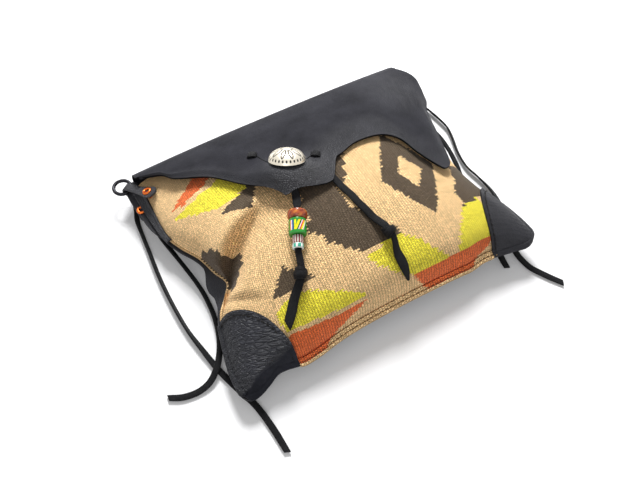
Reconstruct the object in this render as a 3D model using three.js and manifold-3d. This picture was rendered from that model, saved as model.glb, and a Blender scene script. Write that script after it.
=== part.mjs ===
// Leather and wool shoulder bag, stuffed and lying on its back, flap closed.
// Millimetres, +Z up. X runs along the bag's width, Y from the bottom seam to the fold.
// The origin is the middle of the flat patch of the back panel that rests on the table.
import * as THREE from "three";
import { mergeVertices } from "three/addons/utils/BufferGeometryUtils.js";
import Module from "manifold-3d";

const wasm = await Module();
wasm.setup();

// Pouch
const HALF_WIDTH = 136; // middle to side seam at the bottom corners
const HALF_HEIGHT = 114; // middle to bottom seam
const MOUTH_SET_BACK = 10; // upper edge of the front panel, below the top of the seams
const SEAM_HEIGHT = 18; // side and bottom seams above the table
const PUFF = 45; // rise of the stuffed front above its seams
const WOOL = 2.2; // front cloth thickness
const HIDE = 1.8; // leather thickness
const SEAM_WIDTH = 4; // seam allowance outside the stitch line
const FIT = 0.3; // between pieces that touch
const SEAM_FIT = 0.8; // between front and back in the seam
const LAY = 0.8; // between the front cloth and leather laid over it
const CROWDING = 0.86; // how much grid lines gather towards the seams
const CORNER_LEFT = 9; // rounding of the bottom corners in plan
const CORNER_RIGHT = 15;

// Flap and fold
const HINGE_RISE = 12; // fold line above the table, where back panel and flap part
const HINGE_OUT = 3; // fold line beyond the top of the seams
const FOLD_SET_BACK = 13; // where the fold ends and the flap lies over the front
const HINGE_LEAN = Math.PI / 3; // slope of the leather at the fold line
const FLAP_STAND = 8.5; // flap over the seam height before the puff
const FLAP_OVERHANG = 5; // flap beyond the side seams at its right shoulder

// Rings and tabs
const RING_WIRE = 1.6; // wire radius
const RING_RADIUS = 7.5; // middle of the wire
const RING_PLAY = 1.8; // tab loop clear of the wire
const TAB_WIDTH = 8;
const EAR = 9; // back panel beyond the side seam, beside the tab
const RIVET_HEAD = 4.2; // head radius
const RIVET_SHANK = 1.7;
const RIVET_BURR = [2.9, 1]; // burr radius and thickness
const RIVET_CLEARANCE = 0.8; // holes round the shank
const RIVET_SEAT = 0.9; // head and burr clear of the curved leather and cloth

// Patches, strips, laces, concho and beads
const PATCH_TALL = 0.645; // corner patch along the side seam, in half heights of cloth
const PATCH_WIDE_LEFT = 0.485; // corner patch along the bottom seam, in half widths of cloth
const PATCH_WIDE_RIGHT = 0.43;
const STRIP_WIDTH = 0.075; // seam strip over the front, in half widths of cloth
const LACE_WIDTH = 5.4;
const LACE_THICK = 1.8;
const CONCHO_RADIUS = 15;
const CONCHO_RISE = 9.8;
const CONCHO_WALL = 1.2;
const BORE_PLAY = 0.35; // bead and knot holes round the lace
const KNOT_RADIUS = 5.4;
const KNOT_LENGTH = 8;

const LEATHER = { color: 0x2e2d31, roughness: 0.55, metalness: 0 };
const CLOTH = { color: 0xc9a57a, roughness: 0.95, metalness: 0 };
const COPPER = { color: 0xc8622e, roughness: 0.35, metalness: 1 };
const BLACK_METAL = { color: 0x1c1c1e, roughness: 0.4, metalness: 1 };
const SILVER = { color: 0xc9c7c0, roughness: 0.3, metalness: 1 };
const GLASS = { roughness: 0.3, metalness: 0 };

const bag = new THREE.Group();
const V3 = (x, y, z) => new THREE.Vector3(x, y, z);
const UP = V3(0, 0, 1);

function add(name, geometry, look) {
  const mesh = new THREE.Mesh(geometry, new THREE.MeshStandardMaterial(look));
  mesh.name = name;
  bag.add(mesh);
  return mesh;
}

// Cubic through [place, value] points, slopes from the neighbours on each side.
function through(points, t) {
  const last = points.length - 1;
  const slope = (i) => {
    const a = points[Math.max(i - 1, 0)];
    const b = points[Math.min(i + 1, last)];
    return (b[1] - a[1]) / (b[0] - a[0]);
  };
  let i = 0;
  while (i < last - 1 && t > points[i + 1][0]) i += 1;
  const [k0, f0] = points[i];
  const [k1, f1] = points[i + 1];
  const h = k1 - k0;
  const s = THREE.MathUtils.clamp((t - k0) / h, 0, 1);
  const start = (1 + 2 * s) * (1 - s) ** 2 * f0 + s * (1 - s) ** 2 * h * slope(i);
  return start + s * s * (3 - 2 * s) * f1 + s * s * (s - 1) * h * slope(i + 1);
}

const clamp01 = (t) => THREE.MathUtils.clamp(t, 0, 1);
const HALF_TURN = (CROWDING * Math.PI) / 2;
const crowd = (t) => Math.sin(t * HALF_TURN) / Math.sin(HALF_TURN);
const uncrowd = (s) => Math.asin(THREE.MathUtils.clamp(s * Math.sin(HALF_TURN), -1, 1)) / HALF_TURN;

// How far each side seam is drawn in and lifted, by height up the bag as a share of its half height.
const LEFT_IN = [
  [-1, 0], [-0.81, 1], [-0.61, 6], [-0.41, 13], [-0.31, 23], [-0.23, 29],
  [-0.11, 25], [0.07, 20], [0.23, 11], [0.39, 5], [0.66, 4], [1, 4],
];
const RIGHT_IN = [
  [-1, 0], [-0.81, 1.5], [-0.61, 6], [-0.42, 14], [-0.26, 18],
  [-0.09, 17], [0.13, 13], [0.44, 8], [0.75, 5], [1, 4],
];
const LEFT_UP = [[-1, -5], [-0.61, -3], [-0.39, 3], [-0.23, 7], [0, 4], [0.35, 1], [1, 1]];
const RIGHT_UP = [[-1, 3], [-0.61, 3], [-0.26, 5], [0.18, 3], [1, 1]];

// Plan place and seam height at cloth coordinates u (across) and height up the bag.
function outline(u, up) {
  const toLeft = (1 - u) / 2;
  const toRight = (1 + u) / 2;
  const drawn = through(LEFT_IN, up) * toLeft ** 3 - through(RIGHT_IN, up) * toRight ** 3;
  const lift = through(LEFT_UP, up) * toLeft ** 3 + through(RIGHT_UP, up) * toRight ** 3;
  return [HALF_WIDTH * crowd(u) + drawn, SEAM_HEIGHT + lift];
}

// Share of the full puff: round across, round to the bottom seam, sloping to the mouth.
const rounded = (s, full) => clamp01(1 - full * Math.abs(s) ** 2.6) ** 0.62;
function along(up) {
  const toBottom = clamp01((-0.13 - up) / 0.87);
  const toMouth = clamp01((up + 0.13) / 1.17);
  return rounded(toBottom, 1) * clamp01(1 - toMouth ** 2.2) ** 0.75;
}

// Crease that runs up from the pinch in the left seam: depth at a plan place.
const CREASE_FROM = [-110, -29];
const CREASE_TO = [-62, 6];
const CREASE_DEPTH = 13;
const CREASE_REACH = 12;
function crease(x, y) {
  const dx = CREASE_TO[0] - CREASE_FROM[0];
  const dy = CREASE_TO[1] - CREASE_FROM[1];
  const t = clamp01(((x - CREASE_FROM[0]) * dx + (y - CREASE_FROM[1]) * dy) / (dx * dx + dy * dy));
  const away = Math.hypot(x - CREASE_FROM[0] - t * dx, y - CREASE_FROM[1] - t * dy);
  return CREASE_DEPTH * (1 - t) ** 0.8 * Math.exp(-((away / CREASE_REACH) ** 2));
}

// Rounds a bottom corner: its square in plan becomes a quarter disc.
function roundCorner(spot) {
  const side = Math.sign(spot.x);
  const radius = side < 0 ? CORNER_LEFT : CORNER_RIGHT;
  const across = (Math.abs(spot.x) - HALF_WIDTH - SEAM_WIDTH) / radius + 1;
  const down = (-spot.y - HALF_HEIGHT - SEAM_WIDTH) / radius + 1;
  if (across <= 0 || down <= 0) return spot;
  spot.x += side * radius * across * (Math.sqrt(1 - (down * down) / 2) - 1);
  spot.y -= radius * down * (Math.sqrt(1 - (across * across) / 2) - 1);
  return spot;
}

// How far the bottom edge is drawn up near each corner, by place across the bag.
const BOTTOM_UP = [
  [-140, -1], [-128, -2.5], [-116, 0.5], [-107, 5.3], [-99, 6], [-90, 4.5], [-70, 1], [-50, 0],
  [70, 0], [90, 5], [104, 5.6], [115, 5.4], [126, 3], [140, 1],
];
const BOTTOM_FADE = 55; // height over which the drawing up fades
// How far the bottom seam is tucked in under the puff between the corner patches.
const TUCK_UP = [
  [-140, 0], [-86, 0], [-74, 3], [-55, 7.5], [-30, 10], [0, 11], [25, 11], [60, 9.5], [80, 7], [95, 4],
  [104, 2], [115, 0], [140, 0],
];
const TUCK_FADE = 28; // height over which the tuck fades
function shapeBottom(spot) {
  roundCorner(spot);
  const fade = clamp01(1 - (spot.y + HALF_HEIGHT) / BOTTOM_FADE);
  const tuck = clamp01(1 - (spot.y + HALF_HEIGHT) / TUCK_FADE);
  spot.y += through(BOTTOM_UP, spot.x) * fade ** 2 + through(TUCK_UP, spot.x) * tuck ** 2;
  return spot;
}

// Outer face of the front cloth. Past the seams (|u| or |v| over 1) it is the flat seam allowance.
function front(u, v) {
  const cu = THREE.MathUtils.clamp(u, -1, 1);
  const cv = Math.max(v, -1);
  const up = crowd(cv);
  const [x, seam] = outline(cu, up);
  const y = HALF_HEIGHT * up;
  const swell = rounded(crowd(cu), 1) * along(up);
  const z = seam + SEAM_FIT / 2 + WOOL + PUFF * swell - crease(x, y) * clamp01(swell * 3.5);
  return shapeBottom(V3(x + (u - cu) * HALF_WIDTH, y + (v - cv) * HALF_HEIGHT, z));
}

const STEP = 0.004;
function frontNormal(u, v) {
  const across = front(u + STEP, v).sub(front(u - STEP, v));
  const upward = front(u, v + STEP).sub(front(u, v - STEP));
  return across.cross(upward).normalize();
}
const overFront = (u, v, lift) => front(u, v).addScaledVector(frontNormal(u, v), lift);

// Cloth coordinates under a plan place, by halving.
function clothAt(x, y) {
  const v = uncrowd(y / HALF_HEIGHT);
  let low = -1;
  let high = 1;
  for (let i = 0; i < 40; i += 1) {
    const mid = (low + high) / 2;
    if (outline(mid, y / HALF_HEIGHT)[0] > x) high = mid;
    else low = mid;
  }
  return [(low + high) / 2, v];
}
const onFront = (x, y, lift) => overFront(...clothAt(x, y), lift);

// Closed sheet between two grids of points, faces turned outwards.
function sheet(top, bottom, aLines, bLines) {
  const na = aLines.length;
  const nb = bLines.length;
  const points = [];
  for (const face of [top, bottom])
    for (const a of aLines) for (const b of bLines) points.push(face(a, b));
  const at = (side, i, j) => side * na * nb + i * nb + j;
  const faces = [];
  const quad = (p, q, r, s) => faces.push(p, q, r, p, r, s);
  for (let i = 0; i < na - 1; i += 1)
    for (let j = 0; j < nb - 1; j += 1) {
      quad(at(0, i, j), at(0, i + 1, j), at(0, i + 1, j + 1), at(0, i, j + 1));
      quad(at(1, i, j), at(1, i, j + 1), at(1, i + 1, j + 1), at(1, i + 1, j));
    }
  for (let i = 0; i < na - 1; i += 1) {
    quad(at(0, i, 0), at(1, i, 0), at(1, i + 1, 0), at(0, i + 1, 0));
    quad(at(0, i, nb - 1), at(0, i + 1, nb - 1), at(1, i + 1, nb - 1), at(1, i, nb - 1));
  }
  for (let j = 0; j < nb - 1; j += 1) {
    quad(at(0, 0, j), at(0, 0, j + 1), at(1, 0, j + 1), at(1, 0, j));
    quad(at(0, na - 1, j), at(1, na - 1, j), at(1, na - 1, j + 1), at(0, na - 1, j + 1));
  }
  let volume = 0;
  for (let f = 0; f < faces.length; f += 3)
    volume += points[faces[f]].dot(points[faces[f + 1]].clone().cross(points[faces[f + 2]]));
  if (volume < 0) faces.reverse();
  const geometry = new THREE.BufferGeometry().setFromPoints(points);
  geometry.setIndex(faces);
  return geometry;
}
const lines = (from, to, count) =>
  Array.from({ length: count + 1 }, (_, i) => from + ((to - from) * i) / count);

function solid(geometry) {
  const bare = geometry.clone();
  bare.deleteAttribute("normal");
  bare.deleteAttribute("uv");
  const merged = mergeVertices(bare, 1e-4);
  const vertProperties = merged.getAttribute("position").array;
  const triVerts = new Uint32Array(merged.index.array);
  return new wasm.Manifold(new wasm.Mesh({ numProp: 3, vertProperties, triVerts }));
}
function cut(geometry, tools) {
  let body = solid(geometry);
  for (const tool of tools) body = body.subtract(solid(tool));
  const mesh = body.getMesh();
  const made = new THREE.BufferGeometry();
  made.setAttribute("position", new THREE.BufferAttribute(mesh.vertProperties, 3));
  made.setIndex(new THREE.BufferAttribute(mesh.triVerts, 1));
  return made;
}

// Turns a geometry's own Y axis to a direction and carries it to a place.
function aim(geometry, direction, place) {
  const turn = new THREE.Quaternion().setFromUnitVectors(V3(0, 1, 0), direction.clone().normalize());
  return geometry.applyQuaternion(turn).translate(place.x, place.y, place.z);
}

const SEAM_U = 1 + SEAM_WIDTH / HALF_WIDTH;
const SEAM_V = 1 + SEAM_WIDTH / HALF_HEIGHT;
const MOUTH_V = uncrowd((HALF_HEIGHT - MOUTH_SET_BACK) / HALF_HEIGHT);
const HINGE_Y = HALF_HEIGHT + HINGE_OUT;

// Ring tabs: the neck is where the wire of the ring lies in the tab's loop.
const LOOP_RADIUS = RING_WIRE + RING_PLAY + HIDE / 2;
const FRONT_RIVET_IN = 6; // rivet in from the side seam
const FRONT_RIVET_DOWN = 29; // rivet below the top of the seams
const NECK_OUT = 4.4; // neck beyond the bottom corner's seam line
const NECK_DOWN = 9; // neck below the top of the seams
const NECK_RISE = 19.8;
const TAB_LIFT = 3 * LAY + HIDE + HIDE / 2; // middle of the tab over the front cloth
const TAB_TIP = 8; // tab past its rivets
const TAB_BROW = 7; // from the front rivet to where the tab turns over the seam
const BROW_ARCH = 1.2; // tab arched over the edge of the seam
const EAR_RIVET_DOWN = 33;
const EAR_TOP_DOWN = 15;
const EAR_LOW_DOWN = 68;
function ear(y) {
  const share = clamp01((HALF_HEIGHT - EAR_TOP_DOWN - y) / (EAR_LOW_DOWN - EAR_TOP_DOWN));
  return EAR * Math.sin(Math.PI * share) ** 0.8;
}

// Back panel left over beyond the left seam, and hanging down, where the front is pinched in.
const WAIST_EAR = 10;
const WAIST_EAR_AT = -23;
const WAIST_EAR_REACH = 24;
function waistEar(u, y) {
  const t = Math.abs(y - WAIST_EAR_AT) / WAIST_EAR_REACH;
  return u < 0 && t < 1 ? WAIST_EAR * Math.cos((t * Math.PI) / 2) ** 2 : 0;
}

// Outer face of the back panel: flat on the table, rising to the seams and to the fold line.
function back(u, w) {
  const cu = THREE.MathUtils.clamp(u, -1, 1);
  const cw = Math.max(w, -1);
  const middle = (HINGE_Y - HALF_HEIGHT) / 2;
  const half = (HINGE_Y + HALF_HEIGHT) / 2;
  const y = middle + half * crowd(cw);
  const [x, seam] = outline(cu, Math.min(y / HALF_HEIGHT, 1));
  const flat = (s) => clamp01(1 - Math.abs(s) ** 5) ** 0.7;
  const toHinge = clamp01((y - HALF_HEIGHT + MOUTH_SET_BACK) / (MOUTH_SET_BACK + HINGE_OUT));
  const edge = (seam - SEAM_FIT / 2 - HIDE) * (1 - toHinge) + HINGE_RISE * toHinge;
  const z = Math.max(0, edge * (1 - 1.25 * flat(crowd(cu)) * flat(crowd(cw))));
  const past = Math.abs(u - cu) / (SEAM_U - 1);
  const spare = waistEar(u, y);
  const out = Math.sign(u - cu) * past * (SEAM_WIDTH + ear(y) + spare);
  return shapeBottom(V3(x + out, y + (w - cw) * half, z - past * spare));
}
function backInner(u, w) {
  const atFold = V3(0, -Math.sin(HINGE_LEAN), Math.cos(HINGE_LEAN));
  if (w >= 1) return back(u, w).addScaledVector(atFold, HIDE);
  const across = back(u + STEP, w).sub(back(u - STEP, w));
  const upward = back(u, w + STEP).sub(back(u, w - STEP));
  return back(u, w).addScaledVector(across.cross(upward).normalize(), HIDE);
}

// Riveted pieces. Side is -1 on the left and 1 on the right.
const SIDES = [["left", -1], ["right", 1]];
function tabFrame(side) {
  const y = HALF_HEIGHT - FRONT_RIVET_DOWN;
  const x = outline(side, y / HALF_HEIGHT)[0] - side * FRONT_RIVET_IN;
  const rivet = onFront(x, y, TAB_LIFT);
  const neck = V3(side * (HALF_WIDTH + NECK_OUT), HALF_HEIGHT - NECK_DOWN, NECK_RISE);
  const outward = V3(neck.x - x, neck.y - y, 0).normalize();
  const tip = onFront(x - outward.x * TAB_TIP, y - outward.y * TAB_TIP, TAB_LIFT);
  const brow = rivet.clone().addScaledVector(outward, TAB_BROW);
  brow.z = rivet.z * 0.6 + (NECK_RISE + LOOP_RADIUS) * 0.4 + BROW_ARCH;
  const widthways = outward.clone().cross(UP);
  const normal = widthways.cross(brow.clone().sub(tip)).normalize();
  const earY = HALF_HEIGHT - EAR_RIVET_DOWN;
  const earX = outline(side, earY / HALF_HEIGHT)[0] + side * (SEAM_WIDTH + ear(earY) * 0.6);
  const earSpot = V3(earX, earY, earHeight(side, earY));
  const under = earSpot.z - LAY - HIDE / 2;
  return { tip, rivet, brow, neck, outward, normal, earSpot, under };
}

function earHeight(side, y) {
  const w = uncrowd((y - (HINGE_Y - HALF_HEIGHT) / 2) / ((HINGE_Y + HALF_HEIGHT) / 2));
  const u = side * (1 + 0.6 * (SEAM_U - 1));
  return back(u, w).z;
}

function tabPath(side) {
  const { tip, rivet, brow, neck, outward, earSpot, under } = tabFrame(side);
  const points = [tip, rivet, brow];
  for (let k = 0; k <= 6; k += 1) {
    const angle = Math.PI / 2 - (Math.PI * k) / 6;
    const spot = neck.clone().addScaledVector(outward, LOOP_RADIUS * Math.cos(angle));
    points.push(spot.addScaledVector(UP, LOOP_RADIUS * Math.sin(angle)));
  }
  const bend = neck.clone().lerp(earSpot, 0.3);
  points.push(V3(bend.x, bend.y, under));
  points.push(V3(earSpot.x, earSpot.y, under));
  points.push(V3(earSpot.x, earSpot.y - TAB_TIP, under));
  return new THREE.CatmullRomCurve3(points, false, "centripetal");
}

function strapShape(thick, wide) {
  const shape = new THREE.Shape();
  shape.moveTo(-thick / 2, -wide / 2);
  shape.lineTo(thick / 2, -wide / 2);
  shape.lineTo(thick / 2, wide / 2);
  shape.lineTo(-thick / 2, wide / 2);
  return shape;
}

const hole = (length) => new THREE.CylinderGeometry(
  RIVET_SHANK + RIVET_CLEARANCE, RIVET_SHANK + RIVET_CLEARANCE, length, 12);

// Rivet with a dished head at the top of its own Y axis and a burr below.
function rivetShape(grip) {
  const profile = [
    [0, -grip - RIVET_BURR[1]], [RIVET_BURR[0], -grip - RIVET_BURR[1]], [RIVET_BURR[0], -grip],
    [RIVET_SHANK, -grip], [RIVET_SHANK, 0], [RIVET_HEAD, 0], [RIVET_HEAD, 0.6],
    [RIVET_HEAD - 0.8, 1.4], [RIVET_SHANK + 0.3, 1.1], [RIVET_SHANK - 0.3, 0.5], [0, 0.5],
  ];
  return new THREE.LatheGeometry(profile.map(([r, h]) => new THREE.Vector2(r, h)), 14);
}

const frontHoles = [];
const earHoles = [];
const stripHoles = { left: [], right: [] };
const tabHoles = { left: [], right: [] };
for (const [name, side] of SIDES) {
  const { rivet, earSpot, normal } = tabFrame(side);
  const bore = () => aim(hole(TAB_LIFT * 6), normal, rivet);
  frontHoles.push(bore());
  stripHoles[name].push(bore());
  tabHoles[name].push(bore());
  const earBore = () => aim(hole(HIDE * 8), UP, earSpot);
  earHoles.push(earBore());
  tabHoles[name].push(earBore());
  const grip = TAB_LIFT + HIDE / 2 + WOOL + 6 * RIVET_SEAT;
  const head = rivet.clone().addScaledVector(normal, HIDE / 2 + RIVET_SEAT);
  add("rivet_front_" + name, aim(rivetShape(grip), normal, head), COPPER);
  const earHead = earSpot.clone().addScaledVector(UP, HIDE + 2 * FIT);
  const earGrip = 2 * HIDE + LAY + 4 * FIT;
  add("rivet_back_" + name, aim(rivetShape(earGrip), UP, earHead), COPPER);
}

const frontU = [-SEAM_U, ...lines(-1, 1, 26), SEAM_U];
const frontV = [-SEAM_V, ...lines(-1, MOUTH_V, 19)];
const frontSheet = sheet(front, (u, v) => overFront(u, v, -WOOL), frontU, frontV);
add("front_panel", cut(frontSheet, frontHoles), CLOTH);

const backW = [-1 - SEAM_WIDTH / HALF_HEIGHT, ...lines(-1, 1, 20)];
const backU = [-SEAM_U, ...lines(-1, 1, 24), SEAM_U];
add("back_panel", cut(sheet(backInner, back, backU, backW), earHoles), LEATHER);

// Corner patches: from the corner out to a rounded arc, in cloth coordinates.
const PATCH_ROUND = 3;
for (const [name, side] of SIDES) {
  const wide = (side < 0 ? PATCH_WIDE_LEFT : PATCH_WIDE_RIGHT) + SEAM_U - 1;
  const tall = PATCH_TALL + SEAM_V - 1;
  const spot = (turn, reach, lift) => {
    const c = Math.cos(turn);
    const s = Math.sin(turn);
    const k = reach / (c ** PATCH_ROUND + s ** PATCH_ROUND) ** (1 / PATCH_ROUND);
    return overFront(side * (SEAM_U - wide * c * k), -SEAM_V + tall * s * k, lift);
  };
  const turns = lines(0, Math.PI / 2, 12);
  const reaches = lines(0.06, 1, 8);
  const top = (a, b) => spot(a, b, LAY + HIDE);
  const under = (a, b) => spot(a, b, LAY);
  add("corner_patch_" + name, sheet(top, under, turns, reaches), LEATHER);
}

// Seam strips: binding over each side seam, from below the mouth down.
const STRIP_TOP = 0.9; // share of the mouth's height
const STRIP_LOW = { left: 0.29, right: 0.16 };
for (const [name, side] of SIDES) {
  const rows = lines(STRIP_LOW[name], MOUTH_V * STRIP_TOP, 12);
  const wide = (v) => STRIP_WIDTH + 0.11 * THREE.MathUtils.smoothstep(v, 0.45, 0.6);
  const spot = (v, b, lift) => overFront(side * (SEAM_U - b * (wide(v) + SEAM_U - 1)), v, lift);
  const strip = sheet((v, b) => spot(v, b, LAY + HIDE), (v, b) => spot(v, b, LAY), rows, lines(0, 1, 5));
  add("seam_strip_" + name, cut(strip, stripHoles[name]), LEATHER);
}

// Ring tabs and rings. The right ring hangs down from its tab.
const RING_DROOP = { left: 0, right: THREE.MathUtils.degToRad(35) };
for (const [name, side] of SIDES) {
  const { neck, outward } = tabFrame(side);
  const extrude = { steps: 34, bevelEnabled: false, extrudePath: tabPath(side) };
  const strap = new THREE.ExtrudeGeometry(strapShape(HIDE, TAB_WIDTH), extrude);
  add("ring_tab_" + name, cut(strap, tabHoles[name]), LEATHER);
  const ring = new THREE.TorusGeometry(RING_RADIUS, RING_WIRE, 10, 28);
  const swing = new THREE.Quaternion().setFromAxisAngle(outward.clone().cross(UP), -RING_DROOP[name]);
  const middle = outward.clone().applyQuaternion(swing).multiplyScalar(RING_RADIUS).add(neck);
  ring.applyQuaternion(swing);
  add("ring_" + name, ring.translate(middle.x, middle.y, middle.z), BLACK_METAL);
}

// Flap: lower edge as [share of the half width, drop below the top of the seams].
const FLAP_EDGE = [
  [-0.956, 13], [-0.838, 24], [-0.779, 38], [-0.625, 55], [-0.544, 68], [-0.436, 91], [-0.327, 113],
  [-0.296, 118.5], [-0.215, 119], [-0.084, 121.5], [0.003, 121], [0.055, 113], [0.116, 100.5], [0.169, 98],
  [0.294, 93], [0.456, 95], [0.551, 106], [0.596, 126], [0.662, 145], [0.699, 149], [0.757, 143],
  [0.824, 115], [0.89, 84], [0.963, 68], [1, 50],
];
const FLAP_ROUND_LOW = 0.92; // how far the flap follows the round of the front near its lower edge
const FLAP_ROUND_HIGH = 0.62; // the same near the fold
const FLAP_TURN_FROM = -20;
const FLAP_TURN_LENGTH = 100;

// Near the concho the flap is pushed up by the lace tied under it and leans to the fold and to the right.
const CONCHO_AT = [-24.1, 24.5];
const SEAT_RISE = 7; // under the middle of the concho
const SEAT_ACROSS = 0.33; // fall to the right
const SEAT_ALONG = 0.434; // fall to the fold
const SEAT_REACH = 28;
function seat(x, y) {
  const across = x - CONCHO_AT[0];
  const upward = y - CONCHO_AT[1];
  const fade = Math.exp(-((Math.hypot(across, upward) / SEAT_REACH) ** 3));
  return fade * (SEAT_RISE - SEAT_ACROSS * across - SEAT_ALONG * upward);
}

// Outer face of the flap where it lies over the front.
function flapOver(x, y) {
  const turn = clamp01((y - FLAP_TURN_FROM) / FLAP_TURN_LENGTH);
  const full = FLAP_ROUND_LOW + (FLAP_ROUND_HIGH - FLAP_ROUND_LOW) * turn;
  const swell = Math.max(rounded(x / HALF_WIDTH, full), 0.1) * along(y / HALF_HEIGHT);
  return V3(x, y, SEAM_HEIGHT + FLAP_STAND + HIDE / 2 + PUFF * swell + seat(x, y));
}
const FLAP_STEP = 0.5;
function flapNormal(x, y) {
  const across = flapOver(x + FLAP_STEP, y).sub(flapOver(x - FLAP_STEP, y));
  const upward = flapOver(x, y + FLAP_STEP).sub(flapOver(x, y - FLAP_STEP));
  return across.cross(upward).normalize();
}
const onFlap = (x, y, lift) => flapOver(x, y).addScaledVector(flapNormal(x, y), lift);

const edgeCurve = new THREE.SplineCurve(
  FLAP_EDGE.map(([share, drop]) => new THREE.Vector2(share * HALF_WIDTH, HALF_HEIGHT - drop)));
const FOLD_Y = HALF_HEIGHT - FOLD_SET_BACK;
const FOLD_PULL = 9; // roundness of the fold

// Place on the flap at t along its lower edge; depth 0 to 1 is the fold, 1 to 2 the part over the front.
function flap(t, depth, lift) {
  const edge = edgeCurve.getPoint(t);
  const [first, last] = [edgeCurve.getPoint(0).x, edgeCurve.getPoint(1).x];
  const share = (edge.x - first) / (last - first);
  const topX = (2 * share - 1) * (HALF_WIDTH - 3);
  if (depth > 1) {
    const reach = depth - 1;
    const bulge = FLAP_OVERHANG * share ** 12 * Math.sin(Math.PI * reach);
    return onFlap(topX + (edge.x - topX) * reach + bulge, FOLD_Y + (edge.y - FOLD_Y) * reach, lift);
  }
  const end = onFlap(topX, FOLD_Y, lift);
  const slope = flapNormal(topX, FOLD_Y);
  const lean = V3(0, Math.cos(HINGE_LEAN), Math.sin(HINGE_LEAN));
  const base = V3(topX, HINGE_Y, HINGE_RISE).addScaledVector(lean, 2 * FIT);
  base.addScaledVector(V3(0, lean.z, -lean.y), lift);
  const low = base.clone().addScaledVector(lean, FOLD_PULL);
  const high = end.clone().addScaledVector(V3(0, slope.z, -slope.y), FOLD_PULL);
  return new THREE.CubicBezierCurve3(base, low, high, end).getPoint(depth);
}

// The lace comes up through the flap and goes down again in a short stitch on each side of the concho.
const LEFT_STITCH = [-42.6, 52.6];
const RIGHT_STITCH = [1.7, 23.3];
const STITCH_SPAN = 7; // between the two slits of a stitch
const SLIT_WIDTH = LACE_THICK + 5 * FIT;
const SLIT_SPARE = 2; // slit longer than the lace is wide
const stitchRun = V3(RIGHT_STITCH[0] - LEFT_STITCH[0], RIGHT_STITCH[1] - LEFT_STITCH[1], 0).normalize();
function slits([x, y]) {
  return [-STITCH_SPAN / 2, STITCH_SPAN / 2].map((s) => {
    const place = [x + stitchRun.x * s, y + stitchRun.y * s];
    const box = new THREE.BoxGeometry(SLIT_WIDTH, HIDE * 5, LACE_WIDTH + SLIT_SPARE);
    const up = flapNormal(...place);
    const across = stitchRun.clone().cross(up).normalize();
    const turn = new THREE.Matrix4().makeBasis(up.clone().cross(across), up, across);
    return box.applyMatrix4(turn.setPosition(flapOver(...place)));
  });
}
const flapDepths = [...lines(0, 1, 6), ...lines(1, 2, 14).slice(1)];
const flapSheet = sheet((t, d) => flap(t, d, 0), (t, d) => flap(t, d, -HIDE), lines(0, 1, 48), flapDepths);
add("flap", cut(flapSheet, [...slits(LEFT_STITCH), ...slits(RIGHT_STITCH)]), LEATHER);

// Laces: flat strips with their edges taken off. Each stop is a place and the way the flat side faces.
function laceShape() {
  const [w, t, c] = [LACE_WIDTH / 2, LACE_THICK / 2, LACE_THICK / 4];
  const right = [[w - c, -t], [w, c - t], [w, t - c], [w - c, t]];
  const left = right.map(([x, y]) => [-x, -y]);
  return new THREE.Shape([...right, ...left].map(([x, y]) => new THREE.Vector2(x, y)));
}
function lace(name, stops, steps) {
  const path = new THREE.CatmullRomCurve3(stops.map((stop) => stop[0]), false, "centripetal");
  const facing = new THREE.CatmullRomCurve3(stops.map((stop) => stop[1]));
  const strip = new THREE.ExtrudeGeometry(laceShape(), { depth: 1, steps, bevelEnabled: false });
  const corners = strip.getAttribute("position");
  for (let i = 0; i < corners.count; i += 1) {
    const t = corners.getZ(i);
    const along = path.getTangent(t);
    const across = facing.getPoint(t).cross(along).normalize();
    const out = along.clone().cross(across);
    const spot = path.getPoint(t).addScaledVector(across, corners.getX(i));
    corners.setXYZ(i, ...spot.addScaledVector(out, corners.getY(i)));
  }
  add(name, strip, LEATHER);
}

// Bead or knot on a lace: a barrel with a hole along its own Y axis.
function barrel(radius, length, rounding) {
  const bore = LACE_WIDTH / 2 + BORE_PLAY;
  const end = length / 2;
  const profile = [
    [bore, -end], [radius - rounding, -end], [radius, rounding - end],
    [radius, end - rounding], [radius - rounding, end], [bore, end], [bore, -end],
  ];
  return new THREE.LatheGeometry(profile.map(([r, h]) => new THREE.Vector2(r, h)), 20);
}

// Beads lie in one straight run on the left front lace.
const BEADS = [
  ["bead_amber", 7.7, 7.5, 1.8, 0xa8542a],
  ["bead_green", 7, 13, 0.8, 0x2f8f3f],
  ["bead_striped", 4.4, 6.5, 0.6, 0x8a3a3a],
  ["bead_teal", 4.4, 4, 0.6, 0x8fd0c4],
];
const BEAD_GAP = FIT;
const BEADS_FROM = [-41, -25];
const BEADS_TO = [-54, -49];
const beadStart = onFront(...BEADS_FROM, BEADS[0][1] + LAY);
const beadRun = onFront(...BEADS_TO, BEADS[1][1]).sub(beadStart).normalize();
const onRun = (distance) => beadStart.clone().addScaledVector(beadRun, distance);
let reached = -BEADS[0][2] / 2;
for (const [name, radius, length, rounding, color] of BEADS) {
  const middle = onRun(reached + length / 2);
  add(name, aim(barrel(radius, length, rounding), beadRun, middle), { ...GLASS, color });
  reached += length + BEAD_GAP;
}

const LACE_LIFT = LACE_THICK / 2 + 1.5 * LAY;
const KNOT_LIFT = KNOT_RADIUS + LAY;
const overFrontAt = ([x, y, lift = LACE_LIFT]) => [onFront(x, y, lift), frontNormal(...clothAt(x, y))];
const underFlapAt = ([x, y]) => [onFlap(x, y, -HIDE - LAY - LACE_THICK / 2), flapNormal(x, y)];
const inBeadsAt = (distance) => [onRun(distance), UP];

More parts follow.
